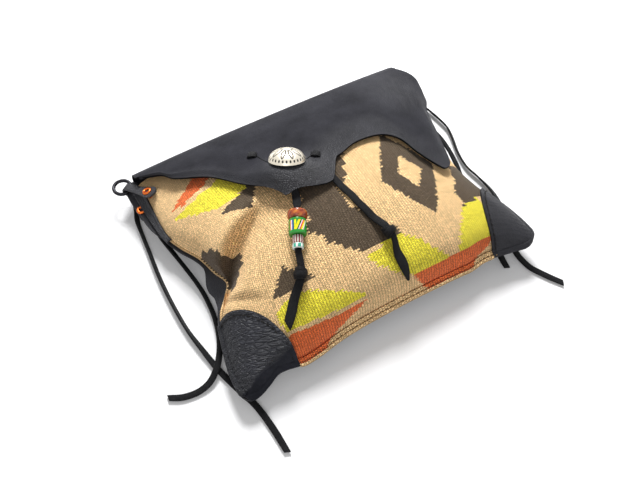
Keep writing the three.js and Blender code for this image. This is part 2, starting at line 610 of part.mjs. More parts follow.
// Knot in a lace, pulled straight through it: returns the lace's stops in the knot.
function knot(name, before, spot, after) {
  const [middle, facing] = overFrontAt([...spot, KNOT_LIFT]);
  const run = onFront(...after, 0).sub(onFront(...before, 0)).normalize();
  add(name, aim(barrel(KNOT_RADIUS, KNOT_LENGTH, 2), run, middle), LEATHER);
  return [-KNOT_LENGTH, 0, KNOT_LENGTH].map((d) => [middle.clone().addScaledVector(run, 0.65 * d), facing]);
}

lace("front_lace_left", [
  ...[LEFT_STITCH, [-41, 39], [-38, 25], [-35, 12], [-32, 1]].map(underFlapAt),
  ...[[-33, -8, 4]].map(overFrontAt),
  ...[-7, 0, 8, 16, reached].map(inBeadsAt),
  ...knot("knot_left", [-55, -53], [-61, -65], [-68, -72]),
  ...[[-74, -78], [-80, -85], [-87, -92]].map(overFrontAt),
], 60);
lace("front_lace_right", [
  ...[RIGHT_STITCH, [2, 12], [3, 1]].map(underFlapAt),
  ...[[4, -10], [5, -18], [7, -26], [8, -34], [10, -42], [12, -51]].map(overFrontAt),
  ...knot("knot_right", [13, -57], [16, -67], [16, -76]),
  ...[[15, -82], [15, -89], [15, -95], [15, -104]].map(overFrontAt),
], 56);

// Stitch: up through one slit, over the flap and down the other, as [share of half the span, lift, turn].
const STITCH = [
  [-1, -HIDE - FIT, -90], [-1, -HIDE / 2, -90], [-0.85, 0.4 * LACE_THICK, -45],
  [-0.5, 2 * FIT + LACE_THICK / 2, 0], [0.5, 2 * FIT + LACE_THICK / 2, 0],
  [0.85, 0.4 * LACE_THICK, 45], [1, -HIDE / 2, 90], [1, -HIDE - FIT, 90],
];
for (const [name, [x, y]] of [["left", LEFT_STITCH], ["right", RIGHT_STITCH]]) {
  const stops = STITCH.map(([share, lift, turn]) => {
    const s = (share * STITCH_SPAN) / 2;
    const place = [x + stitchRun.x * s, y + stitchRun.y * s];
    const angle = THREE.MathUtils.degToRad(turn);
    const facing = flapNormal(...place).multiplyScalar(Math.cos(angle));
    facing.addScaledVector(stitchRun, Math.sin(angle));
    return [onFlap(...place, lift), facing];
  });
  lace("lace_stitch_" + name, stops, 16);
}

// Concho: hollow dome on the flap.
const CONCHO_LIFT = 0.4; // its rim clear of the curved leather
function conchoShape() {
  const arc = (radius, rise, count) => lines(0, 1, count).map((t) => {
    const angle = (t * Math.PI) / 2;
    return new THREE.Vector2(radius * Math.cos(angle), rise * Math.sin(angle));
  });
  const outer = arc(CONCHO_RADIUS, CONCHO_RISE, 7);
  const inner = arc(CONCHO_RADIUS - CONCHO_WALL, CONCHO_RISE - CONCHO_WALL, 6).reverse();
  outer[7].x = 0;
  inner[0].x = 0;
  return new THREE.LatheGeometry([...inner, ...outer], 32);
}
const conchoSeat = onFlap(...CONCHO_AT, FIT + CONCHO_LIFT);
add("concho", aim(conchoShape(), flapNormal(...CONCHO_AT), conchoSeat), SILVER);

// Side laces: from the ties and seam strips down to the table. Each point is chosen by hand.
const ON_TABLE = 2;
const SIDE_LACES = {
  side_lace_left_long: [
    [-140.4, 104, 8.8], [-140.5, 98, 8.8], [-142, 91.5, 7.2], [-145.5, 82, 4], [-147, 70, ON_TABLE],
    [-149, 46, ON_TABLE], [-151, 25, ON_TABLE], [-152, 4, ON_TABLE], [-152, -18, ON_TABLE],
    [-151, -38, ON_TABLE], [-148, -58, ON_TABLE], [-144, -80, ON_TABLE], [-138, -101, ON_TABLE],
    [-132, -120, ON_TABLE], [-129, -142, ON_TABLE], [-128, -164, ON_TABLE],
  ],
  side_lace_left_short: [
    [-135.5, 58, 15.4], [-135, 50, 14.6], [-133.8, 40, 12.2], [-131.2, 26, 9.4], [-128.3, 11, 6],
    [-126.2, -3, 3.6], [-125.5, -16, ON_TABLE], [-126.8, -35, ON_TABLE], [-130, -50, 2.6], [-134.2, -62, 4.2],
    [-140.6, -73.5, 5.4], [-147.3, -81.5, 5.2], [-155.8, -86.8, 3.2], [-166.3, -88.5, ON_TABLE],
    [-178.1, -86.5, ON_TABLE], [-188, -81.5, ON_TABLE],
  ],
  side_lace_right_long: [
    [140.4, 104, 9.2], [140.5, 98, 9.2], [142.5, 91, 7.4], [147, 80, 4], [151.5, 64, ON_TABLE],
    [153.8, 49, ON_TABLE], [154.4, 37.5, ON_TABLE], [151, 24, ON_TABLE], [146.7, 11.6, ON_TABLE],
    [143.8, -0.6, ON_TABLE], [142.9, -12.3, ON_TABLE], [144.8, -25, ON_TABLE], [146.4, -42, ON_TABLE],
    [145, -55.5, ON_TABLE], [141, -70, ON_TABLE], [134.5, -86, ON_TABLE], [128.5, -98, ON_TABLE],
    [125.8, -108, ON_TABLE], [125.6, -116, ON_TABLE], [127.3, -126, ON_TABLE], [132.4, -136, ON_TABLE],
    [136.5, -143, ON_TABLE], [142, -151.5, ON_TABLE],
  ],
  side_lace_right_short: [
    [130.5, 40, 17.1], [131.2, 32, 15.3], [131.8, 21, 12.4], [132.3, 10, 9], [132.3, 1, 6.8],
    [131.4, -8, 5.8], [130.6, -18, 5], [130.8, -28, 4], [130.5, -38, 3], [128.5, -49, ON_TABLE],
    [125.5, -60, ON_TABLE], [121.5, -72, ON_TABLE], [118, -84, ON_TABLE], [114.5, -96, ON_TABLE],
    [111.5, -107, ON_TABLE], [110, -116, ON_TABLE],
  ],
};
for (const [name, places] of Object.entries(SIDE_LACES))
  lace(name, places.map((place) => [V3(...place), UP]), 3 * places.length);
const TIE_RADIUS = 5;
const TIE_LENGTH = 6;
const TIE_BACK = 3.8; // tie from the neck of the tab
for (const [name, side] of SIDES) {
  const { neck, under } = tabFrame(side);
  const ceiling = Math.min(under, neck.z - LOOP_RADIUS) - HIDE / 2;
  const spot = V3(neck.x, neck.y - TIE_BACK, ceiling - FIT - TIE_RADIUS);
  add("lace_tie_" + name, aim(barrel(TIE_RADIUS, TIE_LENGTH, 1.5), V3(0, -1, 0), spot), LEATHER);
}

export default bag;
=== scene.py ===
# Looks for a stuffed wool and leather shoulder bag that lies on its back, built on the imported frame.
# Shapes are worked out in millimetres in the frame's own axes and go into the meshes in metres.
import math

import bpy
import numpy as np
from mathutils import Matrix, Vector


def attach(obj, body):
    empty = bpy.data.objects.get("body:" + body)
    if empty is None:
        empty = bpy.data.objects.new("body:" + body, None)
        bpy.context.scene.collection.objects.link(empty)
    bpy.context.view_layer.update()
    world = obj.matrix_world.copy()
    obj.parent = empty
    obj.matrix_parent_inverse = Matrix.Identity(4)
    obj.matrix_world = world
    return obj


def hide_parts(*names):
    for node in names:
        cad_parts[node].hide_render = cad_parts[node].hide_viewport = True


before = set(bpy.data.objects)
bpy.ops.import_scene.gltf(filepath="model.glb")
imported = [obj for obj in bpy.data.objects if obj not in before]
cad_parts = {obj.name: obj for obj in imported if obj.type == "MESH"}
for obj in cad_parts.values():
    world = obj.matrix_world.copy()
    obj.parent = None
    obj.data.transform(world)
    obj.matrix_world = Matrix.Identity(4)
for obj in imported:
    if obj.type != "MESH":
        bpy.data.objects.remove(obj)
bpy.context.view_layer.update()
mm = 0.001
up = np.array([0.0, 0.0, 1.0])
east = np.array([1.0, 0.0, 0.0])
sides = {"left": -1, "right": 1}
print("frame loaded:", len(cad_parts), "nodes")


def addObject(name, data, place=(0, 0, 0), target=None):
    # an object at a place, its own -Z turned to the target if there is one
    made = bpy.data.objects.new(name, data)
    made.location = place
    if target:
        made.rotation_euler = (Vector(target) - made.location).to_track_quat("-Z", "Y").to_euler()
    bpy.context.scene.collection.objects.link(made)
    return made


# camera, fitted to the bag's seams in the photograph
shot = {"focalPixels": 780.0, "framePixels": 640.0, "sensor": 36.0, "near": 0.01, "far": 20.0,
        "place": (-0.1976, -0.3352, 0.5713), "target": (-0.0140, -0.0119, 0.0)}


def makeCamera():
    # level camera: the lens is the focal length in pixels times the sensor's width over the frame's
    lens = bpy.data.cameras.new("camera")
    lens.sensor_width = shot["sensor"]
    lens.lens = shot["sensor"] * shot["focalPixels"] / shot["framePixels"]
    lens.clip_start = shot["near"]
    lens.clip_end = shot["far"]
    bpy.context.scene.camera = addObject("camera", lens, shot["place"], shot["target"])


makeCamera()
print("camera placed")


# small helpers on arrays
def unit(a):
    return a / np.maximum(np.linalg.norm(a, axis=-1, keepdims=True), 1e-9)


def clamp01(t):
    return np.clip(t, 0.0, 1.0)


def smooth(t, low, high):
    # 0 below low, 1 above high, an S-curve between
    s = clamp01((t - low) / (high - low))
    return s * s * (3 - 2 * s)


def through(knots, values, t):
    # cubic through the values at the knots, each slope taken between the neighbours on both sides
    knots, values, t = np.asarray(knots, float), np.asarray(values, float), np.asarray(t, float)
    last = len(knots) - 1
    before = np.maximum(np.arange(last + 1) - 1, 0)
    after = np.minimum(np.arange(last + 1) + 1, last)
    slope = ((values[after] - values[before]).T / (knots[after] - knots[before])).T
    i = np.clip(np.searchsorted(knots, t, side="right") - 1, 0, last - 1)
    h = knots[i + 1] - knots[i]
    s = clamp01((t - knots[i]) / h)
    if values.ndim > 1:
        s = s[..., None]
        h = h[..., None]
    start = (1 + 2 * s) * (1 - s) ** 2 * values[i] + s * (1 - s) ** 2 * h * slope[i]
    return start + s * s * (3 - 2 * s) * values[i + 1] + s * s * (s - 1) * h * slope[i + 1]


def fromTable(table, t):
    table = np.array(table, float)
    return through(table[:, 0], table[:, 1], t)


def smoothPath(stops, perSpan):
    # points along a curve through the stops, parted by the root of their distance so that it never loops
    stops = np.asarray(stops, float)
    knots = np.r_[0, np.cumsum(np.sqrt(np.linalg.norm(np.diff(stops[:, :3], axis=0), axis=1)))]
    spots = np.linspace(knots[:-1], knots[1:], perSpan, endpoint=False).T.ravel()
    return through(knots, stops, np.r_[spots, knots[-1]])


def arcLength(points):
    return np.r_[0, np.cumsum(np.linalg.norm(np.diff(points, axis=0), axis=1))]


def shareAlong(path):
    length = arcLength(path)
    return length / length[-1]


def bell(t):
    return np.exp(-(t ** 2))


def circle(count):
    return np.linspace(0, 2 * math.pi, count, endpoint=False)


def grid(rows, columns):
    return np.meshgrid(rows, columns, indexing="ij")


def turnTo(points, direction, place):
    # turns points whose own axis is +Z to a direction and carries them to a place
    z = unit(np.asarray(direction, float))
    x = unit(np.cross(np.array([0.0, 1.0, 0.0]), z))
    turned = points[..., :1] * x + points[..., 1:2] * np.cross(z, x) + points[..., 2:] * z
    return turned + np.asarray(place, float)


# colours and nodes
def linear(hexColour):
    # sRGB hex to the linear values that Blender works in
    c = np.array([int(hexColour[i:i + 2], 16) for i in (1, 3, 5)]) / 255
    c = np.where(c <= 0.04045, c / 12.92, ((c + 0.055) / 1.055) ** 2.4)
    return (*c.tolist(), 1.0)


def wire(tree, node, inputs):
    # sets inputs of a node, each to a value or to a socket that it is linked from
    for key, value in inputs.items():
        if isinstance(value, bpy.types.NodeSocket):
            tree.links.new(value, node.inputs[key])
        else:
            node.inputs[key].default_value = value


def addNode(tree, kind, inputs=(), **settings):
    made = tree.nodes.new("ShaderNode" + kind)
    for key, value in settings.items():
        setattr(made, key, value)
    wire(tree, made, dict(inputs))
    return made


def noise(tree, place, scale, detail, roughness=0.5):
    inputs = {"Vector": place, "Scale": scale, "Detail": detail, "Roughness": roughness}
    return addNode(tree, "TexNoise", inputs).outputs


def remap(tree, value, low, high, toLow=0.0, toHigh=1.0, **settings):
    inputs = {"Value": value, "From Min": low, "From Max": high, "To Min": toLow, "To Max": toHigh}
    return addNode(tree, "MapRange", inputs, **settings).outputs["Result"]


def calculate(tree, operation, *values):
    return addNode(tree, "Math", enumerate(values), operation=operation).outputs["Value"]


def mixed(tree, factor, first, second, blend="MIX"):
    # sockets 6 and 7 of a mix node are its two colours, and 2 is the colour that it gives
    inputs = {"Factor": factor, 6: first, 7: second}
    return addNode(tree, "Mix", inputs, data_type="RGBA", blend_type=blend).outputs[2]


def bumped(tree, height, strength, depthMm):
    inputs = {"Height": height, "Strength": strength, "Distance": depthMm * mm}
    return addNode(tree, "Bump", inputs).outputs["Normal"]


def layer(tree, name):
    return addNode(tree, "Attribute", attribute_name=name).outputs


def ownPlace(tree):
    return addNode(tree, "TexCoord").outputs["Object"]


def newMaterial(name):
    made = bpy.data.materials.new(name)
    made.use_nodes = True
    return made, made.node_tree, made.node_tree.nodes["Principled BSDF"]


hides = {
    # name, deep and rubbed colour, width of the pebbles, how much longer they are than wide, roughness, and
    # the gloss where the grain is fine and where it is coarse
    "smooth": ("black cowhide, smooth side", "#222226", "#303035", 1.4, 1.3, 0.5, (0.02, 0.5)),
    "pebbled": ("black cowhide, pebbled", "#1c1d21", "#2f3037", 2.3, 4.0, 0.5, (0.03, 0.28)),
    "lacing": ("black lacing leather", "#0c0c0e", "#161619", 0.8, 1.0, 0.5, (0.1, 0.16)),
    # the cut edge's near-black is partly the hide's own dye and partly painted shade, since the edge faces
    # down
    "edge": ("black cowhide, cut edge and painted shade", "#030304", "#060607", 0.8, 1.0, 0.7, (0.1, 0.1)),
    "thread": ("waxed linen thread, black", "#100e0d", "#1d1916", 0.8, 1.0, 0.6, (0.2, 0.2)),
    "seam": ("waxed linen thread, tan", "#5d482f", "#86694a", 0.8, 1.0, 0.7, (0.2, 0.2)),
}
# turn of the grain, its fine part and its depth by pebble, edge of a crease, and rubbed spots
hideGrain = {"turn": -0.39, "fine": 0.6, "depth": 0.45, "fineHeight": 0.9, "crease": 0.22, "rubMm": 26.0,
             "rub": (0.32, 0.7), "smoother": 0.1, "rougher": 0.12}
perMetre = 1000


def blackLeather(kind):
    # drum-dyed hide: flat pebbles parted by fine creases, a waxy half-gloss, paler where hands have rubbed it
    title, deep, rubbed, pebble, stretch, rough, gloss = hides[kind]
    made, tree, shader = newMaterial(title)
    place = ownPlace(tree)
    turned = {"Vector": place, "Rotation": (0, 0, hideGrain["turn"]), "Scale": (stretch, 1, 1)}
    drawn = addNode(tree, "Mapping", turned, vector_type="TEXTURE").outputs["Vector"]
    fine = noise(tree, drawn, perMetre / (hideGrain["fine"] * pebble), 4.0, 0.65)["Fac"]
    cells = {"Vector": drawn, "Scale": perMetre / pebble}
    edges = addNode(tree, "TexVoronoi", cells, feature="DISTANCE_TO_EDGE").outputs["Distance"]
    flatTop = remap(tree, edges, 0.0, hideGrain["crease"], interpolation_type="SMOOTHSTEP")
    rub = remap(tree, noise(tree, place, perMetre / hideGrain["rubMm"], 5.0, 0.62)["Fac"], *hideGrain["rub"])
    grain = layer(tree, "grain")["Fac"]
    height = calculate(tree, "MULTIPLY_ADD", fine, hideGrain["fineHeight"], flatTop)
    wire(tree, shader, {
        "Base Color": mixed(tree, rub, linear(deep), linear(rubbed)),
        "Roughness": remap(tree, fine, 0.3, 0.7, rough - hideGrain["smoother"], rough + hideGrain["rougher"]),
        "Specular IOR Level": remap(tree, grain, 0.2, 1.0, *gloss),
        "Normal": bumped(tree, height, grain, hideGrain["depth"] * pebble)})
    return made


# width of a rib and a pick, the gap between, size of the fuzz and the wander, and how light each part is; the
# dark colour between the picks is painted shade in the gaps
weave = {"rib": 1.8, "pick": 1.35, "gap": 0.26, "fuzz": 0.85, "wander": 0.22, "dim": (1.05, 1.04, 1.02, 1),
         "bright": (1.5, 1.5, 1.5, 1), "between": (0.36, 0.29, 0.2, 1), "fleck": (0.3, 1.86), "depth": 0.5}


def wovenWool():
    # tapestry weave in thick yarn: columns of small round bumps, each pick lighter or darker, with painted
    # shade in the gaps between them
    made, tree, shader = newMaterial("woven wool tapestry")
    flat = addNode(tree, "UVMap", uv_map="flat").outputs["UV"]
    parts = addNode(tree, "SeparateXYZ", {"Vector": flat}).outputs
    turned = addNode(tree, "CombineXYZ", {"X": parts["Y"], "Y": parts["X"]}).outputs["Vector"]
    wander = noise(tree, flat, weave["wander"], 2.0)["Color"]
    # the bricks are the picks; their dark mortar colour is painted shade between them
    picks = addNode(tree, "TexBrick", {
        "Vector": addNode(tree, "VectorMath", {0: turned, 1: wander}).outputs["Vector"],
        "Color1": weave["dim"], "Color2": weave["bright"], "Mortar": weave["between"], "Scale": 1.0,
        "Mortar Size": weave["gap"], "Mortar Smooth": 1.0, "Brick Width": weave["pick"],
        "Row Height": weave["rib"]}, offset=0.5).outputs
    fuzz = noise(tree, flat, 1 / weave["fuzz"], 3.0, 0.7)["Fac"]
    shade = mixed(tree, 1.0, picks["Color"], remap(tree, fuzz, 0.3, 0.7, *weave["fleck"]), "MULTIPLY")
    height = calculate(tree, "SUBTRACT", fuzz, picks["Fac"])
    wire(tree, shader, {
        "Base Color": mixed(tree, 1.0, layer(tree, "yarn")["Color"], shade, "MULTIPLY"), "Roughness": 0.92,
        "Sheen Weight": 0.12, "Sheen Roughness": 0.5, "Specular IOR Level": 0.15,
        "Normal": bumped(tree, height, 0.8, weave["depth"])})
    return made


def metal(name, colour, dark, roughness, mottleMm):
    # worn metal: bare colour, slightly uneven polish, black and dull where its hollow layer says so: oxide in
    # the button's stamps, painted shade in the rivets' bores and inside the button
    made, tree, shader = newMaterial(name)
    uneven = noise(tree, ownPlace(tree), perMetre / mottleMm, 4.0)["Fac"]
    polish = remap(tree, uneven, 0.0, 1.0, roughness - 0.08, roughness + 0.1)
    hollow = layer(tree, "hollow")["Fac"]
    wire(tree, shader, {
        "Base Color": mixed(tree, hollow, linear(colour), linear(dark)),
        "Roughness": calculate(tree, "MULTIPLY_ADD", hollow, 0.4, polish),
        "Metallic": calculate(tree, "SUBTRACT", 1.0, hollow)})
    return made


def paintedGlass(name, roughness, cloudMm):
    # lampwork glass: colour laid on in canes, a little cloudy, fired to a soft gloss
    made, tree, shader = newMaterial(name)
    cloud = noise(tree, ownPlace(tree), perMetre / cloudMm, 3.0)["Fac"]
    shade = remap(tree, cloud, 0.3, 0.7, 0.72, 1.2)
    wire(tree, shader, {
        "Base Color": mixed(tree, 1.0, layer(tree, "cane")["Color"], shade, "MULTIPLY"),
        "Roughness": roughness, "IOR": 1.5, "Normal": bumped(tree, cloud, 0.35, 0.25)})
    return made


leather = {kind: blackLeather(kind) for kind in hides}
wool = wovenWool()
# copper's dark colour goes only into the rivets' bores, as painted shade
copper = metal("polished copper", "#d0692f", "#2a1a12", 0.28, 2.0)
blackSteel = metal("black nickel on steel", "#2a2a2d", "#101010", 0.34, 4.0)
nickelSilver = metal("nickel silver, oxidised in the stamps", "#e4dccb", "#15110b", 0.36, 3.0)
beadGlass = paintedGlass("opaque lampwork glass", 0.2, 2.4)
print("materials made")


# meshes from whole arrays, quads only
def gridFaces(n, m, wrap=False):
    # corner numbers of each cell of an n by m grid, joined round in the second direction when wrap is set
    i, j = grid(np.arange(n - 1), np.arange(m if wrap else m - 1))
    right = (j + 1) % m
    return np.stack([i * m + j, (i + 1) * m + j, (i + 1) * m + right, i * m + right], -1).reshape(-1, 4)


def shell(outer, inner, bulge=0.25):
    # closed sheet between two grids: both faces, and round the rim a middle row that stands out a little
    n, m = outer.shape[:2]
    a, b = np.arange(n), np.arange(m)
    rimI = np.r_[a, np.full(m - 2, n - 1), a[::-1], np.zeros(m - 2, int)]
    rimJ = np.r_[np.zeros(n, int), b[1:-1], np.full(n, m - 1), b[-2:0:-1]]
    inside = outer[np.clip(rimI, 1, n - 2), np.clip(rimJ, 1, m - 2)]
    middle = (outer[rimI, rimJ] + inner[rimI, rimJ]) / 2 + bulge * unit(outer[rimI, rimJ] - inside)
    faces = gridFaces(n, m)
    top = rimI * m + rimJ
    low = n * m + top
    mid = 2 * n * m + np.arange(len(top))
    upper = np.stack([np.roll(top, -1), np.roll(mid, -1), mid, top], -1)
    lower = np.stack([np.roll(mid, -1), np.roll(low, -1), low, mid], -1)
    verts = np.concatenate([outer.reshape(-1, 3), inner.reshape(-1, 3), middle])
    return verts, np.concatenate([faces, n * m + faces[:, ::-1], upper, lower])


def tubes(rings):
    # closed tubes, given as tube by ring by point: quads round, and each end shut by a strip of quads
    count, n, m = rings.shape[:3]
    k = np.arange(m // 2 - 1)
    cap = np.stack([k, k + 1, m - 2 - k, m - 1 - k], -1)
    one = np.concatenate([gridFaces(n, m, True)[:, ::-1], cap[:, ::-1], (n - 1) * m + cap])
    return rings.reshape(-1, 3), (one + np.arange(count)[:, None, None] * n * m).reshape(-1, 4)


def closedRing(rings):
    # rings joined end to end as well as round, for a bead, a ring or a rivet
    n, m = rings.shape[:2]
    return rings.reshape(-1, 3), gridFaces(n + 1, m, True) % (n * m)


def lathe(profile, count, direction, place):
    # a profile of radius and height turned about its axis
    turn, radius = circle(count), profile[:, :1]
    rings = np.stack([radius * np.cos(turn), radius * np.sin(turn), np.repeat(profile[:, 1:], count, 1)], -1)
    return turnTo(rings, direction, place)


def onBothFaces(values, mesh, rim):
    # a number for each point of a shell: the same on both faces, another round the rim
    return np.r_[values.ravel(), values.ravel(), np.full(len(mesh[0]) - 2 * values.size, rim)]


def outward(verts, faces):
    # turns every face round if the closed mesh has a negative volume
    a, b, c, d = (verts[faces[:, k]] for k in range(4))
    volume = np.einsum("ij,ij->", a, np.cross(b, c)) + np.einsum("ij,ij->", a, np.cross(c, d))
    return faces[:, ::-1] if volume < 0 else faces


def mark(data, name, values, perFace=False):
    # a layer of numbers on the points, or of colours on the faces
    kind = ("FLOAT_COLOR", "FACE") if perFace else ("FLOAT", "POINT")
    made = data.attributes.new(name, *kind)
    made.data.foreach_set("color" if perFace else "value", np.asarray(values, np.float32).ravel())


def addPiece(name, mesh, material, body, node="", sharp=50, grain=0.5):
    # one piece in metres: rides on its body, stands for its CAD node, is smooth but for sharp edges
    verts, faces = mesh
    data = bpy.data.meshes.new(name)
    data.from_pydata((verts * mm).tolist(), [], outward(verts, faces).tolist())
    data.materials.append(material)
    data.shade_smooth()
    data.set_sharp_from_angle(angle=math.radians(sharp))
    mark(data, "grain", np.broadcast_to(grain, len(verts)))
    made = addObject(name, data)
    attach(made, body)
    if node:
        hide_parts(node)
    return made


# the stuffed pouch: its two skins as functions of cloth coordinates, and the flap over it
pouch = {
    "halfWidth": 136.0, "halfHeight": 114.0, "mouthSetBack": 10.0, "seamHeight": 18.0, "puff": 45.0,
    "woolThick": 2.2, "hide": 1.8, "seamWidth": 4.0, "seamFit": 0.8, "lay": 0.8, "crowding": 0.86,
    "corners": (9.0, 15.0), "hingeY": 117.0, "hingeRise": 12.0,
    "leftIn": [(-1, 0), (-0.81, 1), (-0.61, 6), (-0.41, 13), (-0.31, 23), (-0.23, 29),
               (-0.11, 25), (0.07, 20), (0.23, 11), (0.39, 5), (0.66, 4), (1, 4)],
    "rightIn": [(-1, 0), (-0.81, 1.5), (-0.61, 6), (-0.42, 14), (-0.26, 18),
                (-0.09, 17), (0.13, 13), (0.44, 8), (0.75, 5), (1, 4)],
    "leftUp": [(-1, -5), (-0.61, -3), (-0.39, 3), (-0.23, 7), (0, 4), (0.35, 1), (1, 1)],
    "rightUp": [(-1, 3), (-0.61, 3), (-0.26, 5), (0.18, 3), (1, 1)],
    "bottomUp": [(-140, -1), (-128, -1.5), (-116, 3), (-107, 7.3), (-99, 7.2), (-90, 5), (-70, 1),
                 (-50, 0), (70, 0), (90, 5), (104, 5.6), (115, 5.4), (126, 3), (140, 1)],
    "tuckUp": [(-140, 0), (-86, 0), (-74, 3), (-55, 7.5), (-30, 10), (0, 11), (25, 11), (60, 9.5),
               (80, 7), (95, 4), (104, 2), (115, 0), (140, 0)],
    "bottomFade": 55.0, "tuckFade": 28.0,
    # crease: both ends, depth, reach; ear: width, start, length; ear at the waist: width, middle, reach
    "crease": ((-110.0, -29.0), (-62.0, 6.0), 13.0, 12.0), "ear": (6.0, 15.0, 53.0),
    "waistEar": (10.0, -23.0, 24.0),
    # shape of the puff as powers and roots, where it is fullest up the bag, and how flat the back lies
    "round": (2.6, 0.62), "toMouth": (2.2, 0.75), "fullestAt": -0.13, "mouthReach": 1.17, "flat": (5, 0.7),
    "flatFull": 1.25,
}
halfWidth, halfHeight = pouch["halfWidth"], pouch["halfHeight"]
hide, seamWidth = pouch["hide"], pouch["seamWidth"]
halfTurn = pouch["crowding"] * math.pi / 2
seamU, seamV = 1 + seamWidth / halfWidth, 1 + seamWidth / halfHeight
backMiddle, backHalf = (pouch["hingeY"] - halfHeight) / 2, (pouch["hingeY"] + halfHeight) / 2


def crowd(t):
    # even steps of cloth to plan places, gathered towards the seams where the puff falls away
    return np.sin(t * halfTurn) / math.sin(halfTurn)


def uncrowd(s):
    return np.arcsin(np.clip(s * math.sin(halfTurn), -1, 1)) / halfTurn


mouthV = float(uncrowd((halfHeight - pouch["mouthSetBack"]) / halfHeight))


def outline(u, share):
    # plan place across the bag, and the seam height there: each side seam drawn in and lifted as in its table
    toLeft, toRight = ((1 - u) / 2) ** 3, ((1 + u) / 2) ** 3
    drawn = fromTable(pouch["leftIn"], share) * toLeft - fromTable(pouch["rightIn"], share) * toRight
    lift = fromTable(pouch["leftUp"], share) * toLeft + fromTable(pouch["rightUp"], share) * toRight
    return halfWidth * crowd(u) + drawn, pouch["seamHeight"] + lift


def dome(s, power, root, full=1):
    return clamp01(1 - full * np.abs(s) ** power) ** root


def alongBag(share):
    # share of the puff up the bag: round to the bottom seam, sloping off to the mouth
    past = share - pouch["fullestAt"]
    toBottom, toMouth = clamp01(-past / (1 + pouch["fullestAt"])), clamp01(past / pouch["mouthReach"])
    return dome(toBottom, *pouch["round"]) * dome(toMouth, *pouch["toMouth"])


def crease(x, y):
    # valley from the pinch in the left seam: deepest at its start, a bell curve across
    start, end, depth, reach = pouch["crease"]
    run = np.subtract(end, start)
    t = clamp01(((x - start[0]) * run[0] + (y - start[1]) * run[1]) / (run @ run))
    away = np.hypot(x - start[0] - t * run[0], y - start[1] - t * run[1])
    return depth * (1 - t) ** 0.8 * bell(away / reach)


def shapeBottom(x, y):
    # a bottom corner's square in plan becomes a quarter disc, then the bottom edge is drawn up beside the
    # corners and, between them, tucked in under the puff
    radius = np.where(x < 0, *pouch["corners"])
    across = (np.abs(x) - halfWidth - seamWidth) / radius + 1
    down = (-y - halfHeight - seamWidth) / radius + 1
    near = (across > 0) & (down > 0)
    pullX = np.sign(x) * radius * across * (np.sqrt(np.maximum(1 - down ** 2 / 2, 0)) - 1)
    pullY = -radius * down * (np.sqrt(np.maximum(1 - across ** 2 / 2, 0)) - 1)
    x, y = x + np.where(near, pullX, 0), y + np.where(near, pullY, 0)
    fade, tuck = (clamp01(1 - (y + halfHeight) / pouch[name]) for name in ("bottomFade", "tuckFade"))
    return x, y + fromTable(pouch["bottomUp"], x) * fade ** 2 + fromTable(pouch["tuckUp"], x) * tuck ** 2


def frontSkin(u, v):
    # outer face of the cloth: seam height plus the puff, less the crease; flat past the seams
    cu, cv = np.clip(u, -1, 1), np.maximum(v, -1)
    share = crowd(cv)
    x, seam = outline(cu, share)
    y = halfHeight * share
    swell = dome(crowd(cu), *pouch["round"]) * alongBag(share)
    z = seam + pouch["seamFit"] / 2 + pouch["woolThick"] + pouch["puff"] * swell
    z = z - crease(x, y) * clamp01(swell * 3.5)
    x, y = shapeBottom(x + (u - cu) * halfWidth, y + (v - cv) * halfHeight)
    return np.stack([x, y, z], -1)


def skinNormal(skin, u, v, step=0.004):
    return unit(np.cross(skin(u + step, v) - skin(u - step, v), skin(u, v + step) - skin(u, v - step)))


def overFront(u, v, lift):
    return frontSkin(u, v) + np.asarray(lift)[..., None] * skinNormal(frontSkin, u, v)


def clothAt(x, y):
    # cloth coordinates under a plan place, by halving
    x, y = np.broadcast_arrays(np.asarray(x, float), np.asarray(y, float))
    low, high = np.full(x.shape, -1.0), np.full(x.shape, 1.0)
    for _ in range(40):
        mid = (low + high) / 2
        over = outline(mid, y / halfHeight)[0] > x
        low, high = np.where(over, low, mid), np.where(over, mid, high)
    return (low + high) / 2, uncrowd(y / halfHeight)


def onFront(x, y, lift):
    return overFront(*clothAt(x, y), lift)


def ear(y):
    # the back's leather stands out past the side seams by a sine up the bag
    width, start, length = pouch["ear"]
    return width * np.sin(math.pi * clamp01((halfHeight - start - y) / length)) ** 0.8


def waistEar(u, y):
    # leather left over beyond the pinched left seam: a raised cosine up the bag
    width, middle, reach = pouch["waistEar"]
    return np.where(u < 0, width * np.cos(clamp01(np.abs(y - middle) / reach) * math.pi / 2) ** 2, 0.0)


def backSkin(u, w):
    # outer face of the hide: flat on the table, rising to the seams and the fold line, with ears at the sides
    cu, cw = np.clip(u, -1, 1), np.maximum(w, -1)
    toFold = np.minimum(cw, 1)
    y = backMiddle + backHalf * crowd(toFold)
    x, seam = outline(cu, np.minimum(y / halfHeight, 1))
    start = halfHeight - pouch["mouthSetBack"]
    toHinge = clamp01((y - start) / (pouch["hingeY"] - start))
    edge = (seam - pouch["seamFit"] / 2 - hide) * (1 - toHinge) + pouch["hingeRise"] * toHinge
    flat = dome(crowd(cu), *pouch["flat"]) * dome(crowd(toFold), *pouch["flat"])
    z = np.maximum(0, edge * (1 - pouch["flatFull"] * flat))
    past = np.abs(u - cu) / (seamU - 1)
    spare = waistEar(u, y)
    out = np.sign(u - cu) * past * (seamWidth + ear(y) + spare)
    x, y = shapeBottom(x + out, y + (w - cw) * backHalf)
    return np.stack([x, y, z - past * spare], -1)


